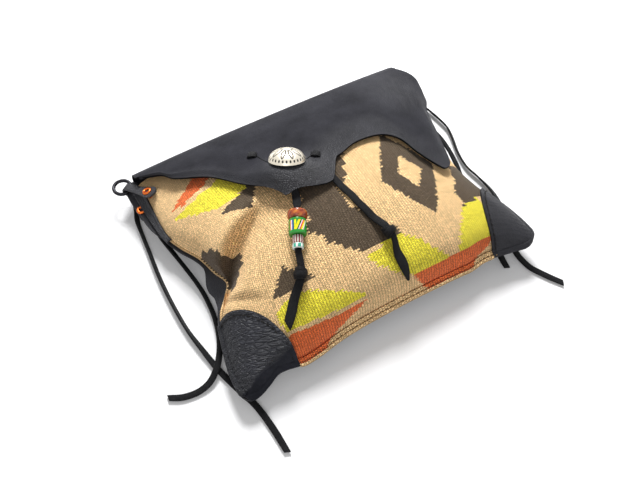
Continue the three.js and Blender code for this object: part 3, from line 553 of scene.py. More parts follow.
flapCut = {
    # lower edge: share of the half width, drop below the top of the seams
    "edge": [(-0.956, 13), (-0.838, 24), (-0.779, 38), (-0.625, 55), (-0.544, 68), (-0.436, 91),
             (-0.327, 113), (-0.296, 118.5), (-0.215, 119), (-0.084, 121.5), (0.003, 121), (0.055, 113),
             (0.116, 100.5), (0.169, 98), (0.294, 93), (0.456, 95), (0.551, 106), (0.596, 126), (0.662, 145),
             (0.699, 149), (0.757, 143), (0.824, 115), (0.89, 84), (0.963, 68), (1, 50)],
    # roundness low down and at the fold, and where it turns; rise, lean and reach of the button's seat
    "round": (0.92, 0.62, -20.0, 100.0), "seat": (7.0, 0.33, 0.434, 28.0), "stand": 8.5, "overhang": 5.0,
    "foldSetBack": 13.0, "foldPull": 9.0, "foldGap": 0.6, "lean": math.pi / 3,
    "columns": 300, "foldRows": 18, "overRows": 72, "buttonAt": (-24.1, 24.5), "edgeDrop": 1.8,
    "leastPuff": 0.1, "normalStep": 0.5, "topIn": 3.0,
    # crinkles of the lobe and of the right shoulder: middle, reach, and depth
    "lobe": (-14, 27, 8, 17, 0.22), "shoulder": (112, 26, 62, 30, 0.5),
}


def flapOver(x, y):
    # outer face over the front: the same puff, held higher, less round across towards the fold, and near the
    # button pushed up into a plane that leans to the fold and to the right and fades away round it
    low, high, start, length = flapCut["round"]
    full = low + (high - low) * clamp01((y - start) / length)
    across = np.maximum(dome(x / halfWidth, *pouch["round"], full), flapCut["leastPuff"])
    swell = across * alongBag(y / halfHeight)
    offX, offY = x - flapCut["buttonAt"][0], y - flapCut["buttonAt"][1]
    rise, leanX, leanY, reach = flapCut["seat"]
    seat = np.exp(-((np.hypot(offX, offY) / reach) ** 3)) * (rise - leanX * offX - leanY * offY)
    z = pouch["seamHeight"] + flapCut["stand"] + hide / 2 + pouch["puff"] * swell + seat
    return np.stack(np.broadcast_arrays(x, y, z), -1)


def flapNormal(x, y):
    return skinNormal(flapOver, x, y, flapCut["normalStep"])


def onFlap(x, y, lift):
    return flapOver(x, y) + np.asarray(lift)[..., None] * flapNormal(x, y)


# laces: flat strips of lacing leather, the loose ones lie on the table and the front pair hangs from the flap
lacing = {"width": 5.4, "thick": 1.8, "perSpan": 8, "lift": 0.9 + 1.5 * 0.8, "slantRings": 8, "rollRise": 1.9,
          "onTable": 2.0, "sideWidths": [(0, 0.9), (0.3, 0.9), (0.94, 1.0), (1, 0.9)]}


def strip(places, facings, width=lacing["width"], thick=lacing["thick"], perSpan=lacing["perSpan"],
          taper=None):
    # a flat section of ten points with rounded edges, carried along the path with its flat side to the facing
    both = smoothPath(np.concatenate([places, facings], 1), perSpan)
    path, facing = both[:, :3], both[:, 3:]
    run = unit(np.gradient(path, axis=0))
    across = unit(np.cross(facing, run))
    out = np.cross(run, across)
    w, h = width / 2, thick / 2
    edge = np.array([(0.45, 1), (0.1, 0.6), (0, 0), (0.1, -0.6), (0.45, -1)]) * h
    half = edge * [-1, 1] + [w, 0]
    section = np.concatenate([half, -half])
    slim = np.ones(len(path)) if taper is None else fromTable(taper, shareAlong(path))
    wide = across[:, None] * section[:, :1] * slim[:, None, None]
    return path, path[:, None] + wide + out[:, None] * section[:, 1:]


def slantEnd(rings, slant):
    # the last few sections slide along the lace by their place across, so that the cut end is slanted
    last = rings[-lacing["slantRings"]:]
    run = unit(last[-1].mean(0) - last[0].mean(0))
    side = unit(last[-1, 0] - last[-1, -1])
    across = (last - last.mean(1, keepdims=True)) @ side
    rings[-len(last):] = last + (slant * np.linspace(0, 1, len(last))[:, None] * across)[..., None] * run
    return rings


def makeLace(name, places, facings, body, node, taper, slant=0.0):
    path, rings = strip(places, facings, taper=taper)
    made = addPiece(name, tubes(slantEnd(rings, slant)[None]), leather["lacing"], body, node, grain=0.7)


sideLaces = {
    # roll onto the edge in degrees, from and to where it flattens, slant of the cut end, and the route from
    # the tie or strip down to the table, where the height isn't given
    "left_long": (60, 0.5, 0.75, 0.5, [
        (-140.4, 104, 8.8), (-140.5, 98, 8.8), (-142, 91.5, 7.2), (-145.5, 82, 4), (-147, 70),
        (-149, 46), (-151, 25), (-152, 4), (-152, -18), (-151, -38), (-148, -58),
        (-144, -80), (-138, -101), (-132, -120), (-129, -142), (-128, -164)]),
    "left_short": (45, 0.5, 0.9, -0.4, [
        (-135.5, 58, 15.4), (-135, 50, 14.6), (-133.8, 40, 12.2), (-131.2, 26, 9.4), (-128.3, 11, 6),
        (-126.2, -3, 3.6), (-125.5, -16), (-126.8, -35), (-130, -50, 2.6), (-134.2, -62, 4.2),
        (-140.6, -73.5, 5.4), (-147.3, -81.5, 5.2), (-155.8, -86.8, 3.2), (-166.3, -88.5),
        (-178.1, -86.5), (-188, -81.5)]),
    "right_long": (60, 0.45, 0.8, -0.5, [
        (140.4, 104, 9.2), (140.5, 98, 9.2), (142.5, 91, 7.4), (147, 80, 4), (151.5, 64), (153.8, 49),
        (154.4, 37.5), (151, 24), (146.7, 11.6), (143.8, -0.6), (142.9, -12.3), (144.8, -25),
        (146.4, -42), (145, -55.5), (141, -70), (134.5, -86), (128.5, -98), (125.8, -108),
        (125.6, -116), (127.3, -126), (132.4, -136), (136.5, -143), (142, -151.5)]),
    "right_short": (20, 0.5, 0.8, 0.3, [
        (130.5, 40, 17.1), (133.4, 32, 15.3), (135.6, 21, 12.4), (136.2, 10, 9), (135.4, 1, 6.8),
        (133.6, -8, 5.8), (130.6, -18, 5), (130.8, -28, 4), (130.5, -38, 3), (128.5, -49), (125.5, -60),
        (121.5, -72), (118, -84), (114.5, -96), (111.5, -107), (110, -116)]),
}
for name, (roll, flatFrom, flatTo, slant, stops) in sideLaces.items():
    route = np.array([(*stop, lacing["onTable"])[:3] for stop in stops], float)
    share = shareAlong(route)
    rolled = smooth(share, 0.02, 0.14) * (1 - smooth(share, flatFrom, flatTo))
    angle = np.radians(roll) * rolled
    route[:, 2] += lacing["rollRise"] * np.sin(angle)
    facings = up * np.cos(angle)[:, None] + east * np.sin(angle)[:, None]
    makeLace("lace_side_" + name, route, facings, "bag", "side_lace_" + name, lacing["sideWidths"], slant)
print("side laces made")

beadRow = {
    # radius, length and rounding of each bead along the lace
    "bead_amber": (7.7, 7.5, 1.8), "bead_green": (7.0, 13.0, 0.8),
    "bead_striped": (4.4, 6.5, 0.6), "bead_teal": (4.4, 4.0, 0.6),
    "from": (-41, -25), "to": (-54, -49), "gap": 0.3,
}
beadNames = [name for name in beadRow if name.startswith("bead_")]
beadStart = onFront(*beadRow["from"], beadRow["bead_amber"][0] + pouch["lay"])
beadRun = unit(onFront(*beadRow["to"], beadRow["bead_green"][0]) - beadStart)
beadSteps = [beadRow[name][1] + beadRow["gap"] for name in beadNames]
beadEnds = np.cumsum(beadSteps) - beadRow["bead_amber"][1] / 2

knots = {"radius": 5.4, "length": 8.0, "through": np.array([-0.65, 0, 0.65]), "width": 4.4, "thick": 1.9,
         "inset": 1.3, "left": [(-55, -53), (-61, -65), (-68, -72)],
         "right": [(13, -57), (16, -67), (16, -76)],
         # each turn of a knot: how far it leans, its place along the lace, and its size
         "turns": ((1.3, -1.5, 1.0), (-1.2, 1.5, 0.95), (0.5, 0.1, 1.1))}
slitAt = {"left": (-42.6, 52.6), "right": (1.7, 23.3), "span": 7.0}


def overFrontStops(places):
    x, y, lift = np.array([(*place, lacing["lift"])[:3] for place in places], float).T
    return onFront(x, y, lift), skinNormal(frontSkin, *clothAt(x, y))


def underFlapStops(places):
    x, y = np.array(places, float).T
    return onFlap(x, y, 0 * x - hide - pouch["lay"] - lacing["thick"] / 2), flapNormal(x, y)


def knotStops(name):
    # the lace runs straight through its knot: three stops along the line from before it to after it
    before, spot, after = knots[name]
    middle, facing = overFrontStops([(*spot, knots["radius"] + pouch["lay"])])
    run = unit(onFront(*after, 0.0) - onFront(*before, 0.0))
    return middle + knots["through"][:, None] * knots["length"] * run, np.tile(facing, (3, 1)), run


def joinStops(*parts):
    return np.concatenate([p[0] for p in parts]), np.concatenate([p[1] for p in parts])


# distances of the stops through the beads; widths of each lace by its share along
beadSpots = beadStart + np.array([-7, 0, 8, 16, beadEnds[-1]])[:, None] * beadRun
leftStops = joinStops(
    underFlapStops([slitAt["left"], (-41, 39), (-38, 25), (-35, 12), (-32, 1)]),
    overFrontStops([(-33, -8, 4)]), (beadSpots, np.tile(up, (5, 1))), knotStops("left"),
    overFrontStops([(-74, -78), (-80, -85), (-87, -92)]))
rightStops = joinStops(
    underFlapStops([slitAt["right"], (2, 12), (3, 1)]),
    overFrontStops([(4, -10), (5, -18), (7, -26), (8, -34), (10, -42), (12, -51)]),
    knotStops("right"), overFrontStops([(15, -82), (15, -89), (15, -95), (15, -104)]))
leftWidths = [(0, 1), (0.3, 1), (0.42, 1.3), (0.47, 1.0), (0.66, 1.0), (0.76, 1.1), (0.84, 1.3), (0.96, 1.45),
              (1, 1.25)]
rightWidths = [(0, 1), (0.2, 1.1), (0.62, 1.15), (0.7, 0.9), (0.78, 1.0), (0.86, 1.5), (0.93, 1.25),
               (1, 0.35)]
makeLace("lace_front_left", *leftStops, "flap", "front_lace_left", leftWidths, 0.9)
makeLace("lace_front_right", *rightStops, "flap", "front_lace_right", rightWidths)
print("front laces made")


# wool front: flat cloth in millimetres, with the woven fields of colour
cloth = {
    "flatAcross": 139.0, "flatUp": 123.0, "cell": (1.4, 1.2), "sideEdge": 0.3, "rim": 0.6, "sideFade": 0.06,
    # rows past the bottom seam line and the row of its stitches, as shares of the seam; how much shorter they
    # are under the patches; how the cloth rises to the puff, sinks at the stitches and drops at the edge
    "seamRows": [1.3, 1.18, 1.05, 0.92, 0.8, 0.6, 0.4, 0.2], "stitchRow": 0.8, "underPatch": 0.58,
    "clear": (-0.56, -0.5, 0.555, 0.615), "seamRise": 1.1, "seamGroove": 0.6, "grooveWidth": 0.12,
    "seamDrop": 2.4, "seed": 11, "rowShade": (0.94, 1.06), "pickShade": (0.95, 1.05), "tooth": 0.5,
    "tan": "#dcba89", "brown": "#514537", "lime": "#e0d440", "rust": "#d96a38",
    # each field: yarn, size of its weaver's steps, corners on the flat cloth
    "fields": [
        ("rust", 1.5, [(-113, 42), (-94, 49), (-86, 53), (-62, 68), (-52, 60), (-70, 46), (-80, 43),
                       (-95, 41)]),
        ("lime", 2.0, [(-113, 35), (-90, 38), (-65, 41), (-40, 58), (-20, 46), (-48, 23), (-64, 19),
                       (-76, 20), (-93, 27)]),
        ("brown", 1.0, [(-79, 14), (-50, 22), (-32, 36), (-36, 27), (-48, 14), (-57, 4)]),
        ("brown", 5.0, [(-141, 9), (-118, -1), (-107, -9), (-94, -8), (-83, -12), (-89, -19), (-98, -19),
                        (-105, -30), (-127, -26), (-141, -23)]),
        ("brown", 2.0, [(-58, -42), (-73, -58), (-57, -61), (-39, -60)]),
        ("lime", 2.0, [(-49, -65), (-35, -74), (-23, -83), (-15, -93), (-31, -94), (-71, -87), (-74, -76),
                       (-73, -69), (-63, -64)]),
        ("rust", 1.5, [(-71, -91), (-32, -99), (-15, -99), (-29, -111), (-41, -121), (-50, -128),
                       (-75, -128)]),
        ("brown", 4.0, [(-24, -3), (-33, -32), (-26, -35), (-25, -40), (-19, -47), (-13, -55), (-7, -60),
                        (10, -61), (20, -59), (18, -53), (4, -29), (-2, -30), (2, -10), (9, -5), (12, 2),
                        (17, 8), (19, 17), (12, 36), (0, 50), (-12, 30)]),
        ("brown", 1.0, [(52, 18), (29, -19), (49, -57), (79, -18)]),
        ("tan", 1.0, [(54, -4), (44, -18), (51, -34), (64, -20)]),
        ("brown", 3.0, [(97, -22), (141, -22), (141, -60), (94, -55), (73, -59), (76, -45), (88, -36)]),
        ("lime", 3.0, [(71, -59), (94, -55), (84, -99), (50, -98), (57, -78)]),
        ("rust", 1.5, [(15, -97), (84, -98), (76, -112), (60, -127), (24, -127), (18, -110)]),
        ("lime", 3.0, [(-8, -63), (21, -60), (28, -69), (34, -79), (42, -98), (24, -98), (15, -98),
                       (8, -89)]),
        ("rust", 1.5, [(114, 52), (89, 62), (58, 74), (50, 64), (69, 54), (92, 47)]),
        ("lime", 3.0, [(113, 42), (88, 47), (65, 52), (40, 66), (22, 54), (48, 36), (76, 32), (93, 36)]),
    ],
}


def inField(x, y, corners):
    # even-odd rule: count the sides that a level line from each place crosses
    inside = np.zeros(x.shape, bool)
    for (ax, ay), (bx, by) in zip(corners, corners[1:] + corners[:1]):
        if ay != by:
            inside ^= ((ay > y) != (by > y)) & (x < ax + (y - ay) * (bx - ax) / (by - ay))
    return inside


def yarnColours(x, y):
    # each cell takes the last field that holds its step's middle; rows are set off, which gives edges teeth
    rng = np.random.default_rng(cloth["seed"])
    colours = np.empty((*x.shape, 4))
    colours[:] = linear(cloth["tan"])
    teeth = np.where(np.round(y / cloth["cell"][1]) % 2 < 1, cloth["tooth"], -cloth["tooth"])
    for yarn, step, corners in cloth["fields"]:
        stepX, stepY = ((np.floor(place / step) + 0.5) * step for place in (x + teeth, y))
        colours[inField(stepX, stepY, corners)] = linear(cloth[yarn])
    pick = rng.uniform(*cloth["rowShade"], (x.shape[0], 1)) * rng.uniform(*cloth["pickShade"], x.shape)
    colours[..., :3] = np.clip(colours[..., :3] * pick[..., None], 0, 1)
    return colours


folds = {
    # line in plan, depth along it, reach of its right side, and how high and far off its left side swells;
    # these are the two folds of the drawn-in left side
    "valley": {"line": [(-109, -31), (-99.6, -18.7), (-95, -13.2), (-88.7, -9.2), (-81.2, -5.2),
                        (-74.5, -2.8), (-63.2, 2.7), (-50, 12)],
               "depth": [(0, 3), (0.25, 6.5), (0.6, 5), (1, 0)], "reach": 14.0, "swell": 1.5, "swellAt": 8.5},
    "pucker": {"line": [(-117, -44), (-111.5, -49), (-102.3, -56.5), (-95, -63), (-87, -69)],
               "depth": [(0, 3), (0.4, 2.6), (1, 0)], "reach": 6.0, "swell": 0.4, "swellAt": 6.0},
}


def foldDepth(x, y, fold):
    # a crease: sinks to a peak on its line, dies away on the right, and on the left turns up into a swelling
    path = smoothPath(fold["line"], 8)
    run = unit(np.gradient(path, axis=0))
    near = np.argmin((x[..., None] - path[:, 0]) ** 2 + (y[..., None] - path[:, 1]) ** 2, -1)
    offX, offY = x - path[near, 0], y - path[near, 1]
    away = np.hypot(offX, offY)
    left = away / fold["swellAt"]
    leftSide = np.exp(-((2.2 * left) ** 1.6)) - fold["swell"] * (left * np.exp(1 - left)) ** 2
    rightSide = np.exp(-((away / fold["reach"]) ** 1.4))
    toLeft = run[near, 0] * offY - run[near, 1] * offX > 0
    return fromTable(fold["depth"], shareAlong(path)[near]) * np.where(toLeft, leftSide, rightSide)


def makeFront():
    sideEdge = 1 + cloth["sideEdge"] * (seamU - 1)
    height = (1 + mouthV) * cloth["flatUp"]
    columns, rows = round(2 * cloth["flatAcross"] / cloth["cell"][0]), round(height / cloth["cell"][1])
    u, v = grid(np.r_[-sideEdge, np.linspace(-1, 1, columns + 1), sideEdge],
                np.r_[-np.array(cloth["seamRows"]), np.linspace(0, 1 + mouthV, rows + 1)])
    bare = smooth(u, *cloth["clear"][:2]) * (1 - smooth(u, *cloth["clear"][2:]))
    past = np.maximum(-v, 0) * (cloth["underPatch"] + (1 - cloth["underPatch"]) * bare)
    v = np.where(v < 0, -1 - past * (seamV - 1), v - 1)
    outer, inner = overFront(u, v, 0.0), overFront(u, v, -pouch["woolThick"])
    rise = cloth["seamRise"] * np.maximum(cloth["stitchRow"] - past, 0) * seamWidth
    groove = cloth["seamGroove"] * bell((past - cloth["stitchRow"]) / cloth["grooveWidth"])
    drop = cloth["seamDrop"] * smooth(past, 1, cloth["seamRows"][0])
    sunk = sum(foldDepth(outer[..., 0], outer[..., 1], fold) for fold in folds.values())
    sunk = sunk * smooth(1 - np.abs(u), 0, cloth["sideFade"])
    for face in (outer, inner):
        face[..., 2] += bare * (np.where(v < -1, rise - groove, 0) - drop) - sunk
    mesh = shell(outer, inner, cloth["rim"])
    made = addPiece("wool_front", mesh, wool, "bag", "front_panel")
    flat = np.stack([u * cloth["flatAcross"], v * cloth["flatUp"]], -1)
    middles = (flat[:-1, :-1] + flat[1:, 1:]) / 2
    cells = yarnColours(middles[..., 0], middles[..., 1]).reshape(-1, 4)
    rim = np.tile(linear(cloth["tan"]), (len(mesh[1]) - 2 * len(cells), 1))
    mark(made.data, "yarn", np.concatenate([cells, cells, rim]), True)
    flat = flat.reshape(-1, 2)
    spots = np.concatenate([flat, flat, np.zeros((len(mesh[0]) - 2 * len(flat), 2))])
    corner = np.zeros(len(made.data.loops), int)
    made.data.loops.foreach_get("vertex_index", corner)
    made.data.uv_layers.new(name="flat").data.foreach_set("uv", spots[corner].astype(np.float32).ravel())
    print("wool front:", len(mesh[1]), "faces")


makeFront()


# leather back, corner patches, seam strips
backGrid = {"across": 121, "upward": 131, "past": 6, "step": 0.004}


def makeBack():
    past = np.linspace(1, seamU, backGrid["past"])[1:]
    u, w = grid(np.r_[-past[::-1], np.linspace(-1, 1, backGrid["across"]), past],
                np.r_[-seamV, np.linspace(-1, 1, backGrid["upward"])])
    step = backGrid["step"]
    outer = backSkin(u, w)
    alongU = backSkin(u + step, w) - backSkin(u - step, w)
    alongW = backSkin(u, np.minimum(w + step, 1)) - backSkin(u, np.minimum(w, 1 - step) - step)
    normal = unit(np.cross(alongU, alongW))
    normal[:, -1] = [0, -math.sin(flapCut["lean"]), math.cos(flapCut["lean"])]
    addPiece("leather_back", shell(outer, outer + hide * normal), leather["smooth"], "bag", "back_panel")


makeBack()


def ripple(x, y, angle, length, wander):
    # one set of parallel folds: a sine across them whose phase wanders along them
    c, s = math.cos(angle), math.sin(angle)
    along, across = x * c + y * s, y * c - x * s
    sway = np.sin(along / (1.7 * length) + 1.3 * np.sin(across / 9))
    return np.sin(2 * math.pi * across / length + wander * sway)


patch = {"tall": 0.645, "wide": {"left": 0.485, "right": 0.43}, "round": 3.0, "seat": 0.15, "over": 0.008,
         "tuck": 2.6, "tuckFrom": 1.01, "columns": 131, "rows": 110, "start": 0.04, "rimGrain": 0.3,
         "ripple": {"left": 0.16, "right": 0.05}, "rippleLength": 3.8, "pucker": 0.25, "puckers": 22,
         "hide": {"left": "pebbled", "right": "smooth"}, "grain": {"left": 1.0, "right": 0.5},
         # stitches: share in from the edge, depth and width of their groove, points and ends of their line,
         # height, then length, gap and thread
         "stitchIn": 2.6 / 62, "groove": 0.6, "grooveWidth": 0.014, "stitchPoints": 160, "stitchEnds": 0.09,
         "stitchLift": 0.05, "stitch": (3.2, 1.0, 0.38),
         # the left corner stands up in a ridge, as a fold of negative depth
         "ridge": {"line": [(-84, -98), (-92, -103.5), (-105.3, -105.3), (-115.6, -107.2), (-124.5, -109.3),
                            (-131, -112.4)],
                   "depth": [(0, 0), (0.2, -3.6), (0.8, -4.2), (1, -2)], "reach": 11.0, "swell": 0.0,
                   "swellAt": 10.0}}


def patchSpot(name, turn, reach, lift):
    # from the bottom corner out to a rounded arc: direction as an angle, reach as a share of the way; past
    # the stitch lines it bends down over the raw edge of the wool
    c, s = np.cos(turn), np.sin(turn)
    k = reach / (c ** patch["round"] + s ** patch["round"]) ** (1 / patch["round"])
    farU, farV = seamU + patch["over"], seamV + patch["over"]
    u = farU - (patch["wide"][name] + farU - 1) * c * k
    v = -farV + (patch["tall"] + farV - 1) * s * k
    spot = overFront(sides[name] * u, v, lift)
    tuck = np.maximum(smooth(u, patch["tuckFrom"], farU), smooth(-v, patch["tuckFrom"], farV))
    spot[..., 2] -= patch["tuck"] * tuck ** 2
    return spot


def stitches(name, spots, normals, length, gap, radius, thread):
    # a row of short arched tubes along a line: each dips in at both ends
    along = arcLength(spots)
    count = int((along[-1] - gap) / (length + gap))
    share = np.linspace(0, 1, 7)
    places = gap + np.arange(count)[:, None] * (along[-1] - gap) / count + share * length
    middle, normal = through(along, spots, places), unit(through(along, normals, places))
    side = np.cross(unit(np.gradient(middle, axis=1)), normal)
    arch = (1.1 * np.sin(math.pi * share) ** 0.5 - 0.55) * radius
    turn = circle(6)[:, None]
    around = (side[:, :, None] * np.cos(turn) + normal[:, :, None] * np.sin(turn)) * radius
    addPiece(name, tubes((middle + normal * arch[:, None])[:, :, None] + around), thread, "bag")


def makePatch(name):
    turn, reach = grid(np.linspace(0, math.pi / 2, patch["columns"]),
                       np.linspace(patch["start"], 1, patch["rows"]))
    seat = patch["seat"] + 0 * turn
    plain = patchSpot(name, turn, reach, seat + hide)
    x, y, length = plain[..., 0], plain[..., 1], patch["rippleLength"]
    crinkle = ripple(x, y, hideGrain["turn"], length, 2.2) + 0.6 * ripple(x, y, 0.4, 2.3 * length, 2.6)
    crinkle = patch["ripple"][name] * crinkle * smooth(reach, 0.05, 0.3) * (1 - smooth(reach, 0.93, 1))
    pucker = patch["pucker"] * np.sin(turn * patch["puckers"]) * smooth(reach, 0.75, 0.95)
    groove = patch["groove"] * bell((reach - 1 + patch["stitchIn"]) / patch["grooveWidth"])
    outer = patchSpot(name, turn, reach, seat + hide + pucker + crinkle - groove)
    inner = patchSpot(name, turn, reach, seat)
    grain = patch["grain"][name] + 0 * turn
    if name == "left":
        sunk = foldDepth(outer[..., 0], outer[..., 1], patch["ridge"])
        outer[..., 2] -= sunk
        inner[..., 2] -= sunk
        ridgeX, ridgeY = np.array(patch["ridge"]["line"][::-1]).T
        grain = grain * (1 - 0.9 * smooth(np.interp(x, ridgeX, ridgeY) - y, -0.5, 2.5))
    mesh = shell(outer, inner)
    addPiece("patch_" + name, mesh, leather[patch["hide"][name]], "bag", "corner_patch_" + name,
             grain=onBothFaces(grain, mesh, patch["rimGrain"]))
    line = np.linspace(patch["stitchEnds"], math.pi / 2 - patch["stitchEnds"], patch["stitchPoints"])
    back = 0 * line + 1 - patch["stitchIn"]
    spots = patchSpot(name, line, back, 0 * line + patch["seat"] + hide + patch["stitchLift"])
    normals = unit(spots - patchSpot(name, line, back, 0 * line))
    stitches("patch_stitches_" + name, spots, normals, *patch["stitch"], leather["thread"])


for name in sides:
    makePatch(name)

bottomSeam = {"from": -0.53, "to": 0.6, "points": 240, "sink": 0.35, "stitch": (2.6, 1.0, 0.26)}
seamLine = np.linspace(bottomSeam["from"], bottomSeam["to"], bottomSeam["points"])
seamRow = 0 * seamLine - 1 - cloth["stitchRow"] * (seamV - 1)
stitches("bottom_seam_stitches", overFront(seamLine, seamRow, 0 * seamLine - bottomSeam["sink"]),
         np.tile(up, (len(seamLine), 1)), *bottomSeam["stitch"], leather["seam"])

seamStrip = {"inner": 0.045, "over": 0.02, "top": 0.9, "low": {"left": 0.24, "right": 0.16}, "seat": 0.15,
             "least": 0.12, "narrowTo": 0.42, "bend": 2.2, "bendTo": 0.55, "wave": 0.12, "waves": 60,
             "rows": 70, "columns": 14}


def stripSpot(name, v, b, lift):
    # binding over the side seam: from its outer edge, bent down, to a share over the front that narrows
    low, least = seamStrip["low"][name], seamStrip["least"]
    narrow = least + (1 - least) * smooth(v, low, low + seamStrip["narrowTo"])
    outer = seamU + seamStrip["over"] * narrow
    spot = overFront(sides[name] * (outer - b * (outer - 1 + seamStrip["inner"] * narrow)), v, lift)
    spot[..., 2] -= seamStrip["bend"] * (1 - smooth(b, 0, seamStrip["bendTo"]))
    return spot


for name in sides:
    v, b = grid(np.linspace(seamStrip["low"][name], mouthV * seamStrip["top"], seamStrip["rows"]),
                np.linspace(0, 1, seamStrip["columns"]))
    seat, wave = seamStrip["seat"], seamStrip["wave"] * np.sin(v * seamStrip["waves"])
    mesh = shell(stripSpot(name, v, b, seat + hide + wave), stripSpot(name, v, b, seat))
    addPiece("strip_" + name, mesh, leather["smooth"], "bag", "seam_strip_" + name, grain=0.8)
print("leather back, patches and strips made")


# flap: lies over the front, folds round the top and meets the back at the fold line
def flapSkin(t, depth, lift):
    # columns run from the fold line to the lower edge: depth 0 to 1 is a cubic round the fold, 1 to 2 is flat
    corners = np.array(flapCut["edge"], float) * [halfWidth, -1] + [0, halfHeight]
    edge = through(np.linspace(0, 1, len(corners)), corners, t)
    share = (edge[..., 0] - corners[0, 0]) / (corners[-1, 0] - corners[0, 0])
    topX = (2 * share - 1) * (halfWidth - flapCut["topIn"])
    foldY = 0 * topX + halfHeight - flapCut["foldSetBack"]
    reach = np.maximum(depth - 1, 0)
    bulge = flapCut["overhang"] * np.maximum(share, 0) ** 12 * np.sin(math.pi * reach)
    flat = onFlap(topX + (edge[..., 0] - topX) * reach + bulge, foldY + (edge[..., 1] - foldY) * reach, lift)
    end, slope = onFlap(topX, foldY, lift), flapNormal(topX, foldY)
    lean = np.array([0, math.cos(flapCut["lean"]), math.sin(flapCut["lean"])])
    base = topX[..., None] * east + [0, pouch["hingeY"], pouch["hingeRise"]] + flapCut["foldGap"] * lean
    base = base + np.asarray(lift)[..., None] * np.array([0, lean[2], -lean[1]])
    low = base + flapCut["foldPull"] * lean
    high = end + flapCut["foldPull"] * np.stack([0 * topX, slope[..., 2], -slope[..., 1]], -1)
    s = clamp01(depth)[..., None]
    fold = (1 - s) ** 3 * base + 3 * s * (1 - s) ** 2 * low + 3 * s * s * (1 - s) * high + s ** 3 * end
    return np.where((depth > 1)[..., None], flat, fold)


def makeFlap():
    t, d = grid(np.linspace(0, 1, flapCut["columns"] + 1),
                np.r_[np.linspace(0, 1, flapCut["foldRows"]), np.linspace(1, 2, flapCut["overRows"])[1:]])
    plain = flapSkin(t, d, 0 * t)
    x, y = plain[..., 0], plain[..., 1]
    lobe, shoulder = (bell((x - spot[0]) / spot[1]) * bell((y - spot[2]) / spot[3])
                      for spot in (flapCut["lobe"], flapCut["shoulder"]))
    wrinkles = flapCut["lobe"][4] * lobe * (ripple(x, y, 0.35, 4.4, 2.4) + ripple(x, y, -0.7, 6.5, 2.0))
    wrinkles = wrinkles + flapCut["shoulder"][4] * shoulder * ripple(x, y, 1.25, 15.0, 1.4)
    inside = smooth(d, 1, 1.15) * (1 - smooth(d, 1.97, 2))
    drop = flapCut["edgeDrop"] * smooth(d, 1.78, 2)
    mesh = shell(flapSkin(t, d, wrinkles * inside - drop), flapSkin(t, d, -hide - drop))
    grain = 0.2 + 0.8 * lobe + 0.2 * smooth(d, 1.6, 2) + 0.15 * shoulder
    grain = onBothFaces(grain, mesh, 0.6)
    made = addPiece("leather_flap", mesh, leather["smooth"], "flap", "flap", grain=grain)
    # the rim takes the cut-edge hide: its own black with painted shade on top
    made.data.materials.append(leather["edge"])
    rim = np.arange(len(mesh[1])) >= 2 * (t.shape[0] - 1) * (t.shape[1] - 1)
    made.data.polygons.foreach_set("material_index", rim.astype(np.int32))


makeFlap()
print("flap made")


# knots, ties and stitches: the lace's own turns
def loops(turns, radius, width, thick, direction, place):
    # strips bent round the lace, each ring of the strip leaning one way and set along the lace
    turn = np.linspace(0, 2 * math.pi, 41)
    outs = np.stack([np.cos(turn), np.sin(turn), 0 * turn], -1)
    facings = turnTo(outs, direction, (0, 0, 0))
    rings = []
    for lean, offset, size in turns:
        spots = outs * radius * size + (lean * np.cos(turn + 2 * offset) + offset)[:, None] * up
        rings.append(strip(turnTo(spots, direction, place), facings, width, thick, 2)[1])
    return tubes(np.array(rings))


# each stitch as a share of its span, a lift and a turn; a slit runs from each stitch towards the button,
# drawn as a thin near-black strip that is painted shade in the cut
stitchRun = unit(np.subtract(slitAt["right"], slitAt["left"]))
stitchShape = np.array([(-1, -2.1, -90), (-1, -0.9, -90), (-0.85, 0.72, -45), (-0.5, 1.5, 0),
                        (0.5, 1.5, 0), (0.85, 0.72, 45), (1, -0.9, 90), (1, -2.1, 90)])
stitchWidths = [(0, 1), (0.35, 1.35), (0.65, 1.35), (1, 1)]
slits = {"left": [(-39.7, 50.7), (-38.8, 41), (-37.8, 31)], "right": [(-1.2, 25.2), (-6, 22), (-11, 19)],
         "width": 0.9, "thick": 0.5}
for name in sides:
    spots, _, run = knotStops(name)
    radius = knots["radius"] - knots["inset"]
    mesh = loops(knots["turns"], radius, knots["width"], knots["thick"], run, spots[1])
    addPiece("turned_knot_" + name, mesh, leather["lacing"], "flap", "knot_" + name, grain=0.8)
for name in sides:
    x, y = np.array(slitAt[name])[:, None] + stitchRun[:, None] * stitchShape[:, 0] * slitAt["span"] / 2
    angle = np.radians(stitchShape[:, 2])[:, None]
    facings = flapNormal(x, y) * np.cos(angle) + np.append(stitchRun, 0) * np.sin(angle)
    mesh = tubes(strip(onFlap(x, y, stitchShape[:, 1]), facings, taper=stitchWidths)[1][None])
    addPiece("stitch_" + name, mesh, leather["lacing"], "flap", "lace_stitch_" + name, grain=0.8)
# slits: strips of the cut-edge hide laid on the flap, painted shade where the leather is cut
for name in sides:
    x, y = np.array(slits[name]).T
    cut = strip(onFlap(x, y, 0.0), flapNormal(x, y), slits["width"], slits["thick"])[1]
    addPiece("slit_shade_" + name, tubes(cut[None]), leather["edge"], "flap")
print("knots, stitches and slits made")


# ring tabs, rings, rivets, ties
tab = {"width": 8.0, "frontRivetIn": 6.0, "frontRivetDown": 29.0, "neckOut": 4.4, "neckDown": 9.0,
       "neckRise": 19.8, "lift": 3 * 0.8 + 1.5 * 1.8, "tip": 8.0, "brow": 7.0, "browArch": 1.2,
       "browFall": 0.4, "earRivetDown": 33.0, "earShare": 0.6, "bend": 0.3,
       "widths": [(0, 0.4), (0.015, 1.0), (0.05, 1.5), (0.1, 1.55), (0.17, 1.25), (0.25, 1), (0.97, 1),
                  (1, 0.8)]}
ring = {"wire": 1.6, "radius": 7.5, "play": 1.8, "droop": {"left": 0.0, "right": math.radians(35)},
        "wirePoints": 24, "columns": 96}
loopRadius = ring["wire"] + ring["play"] + hide / 2


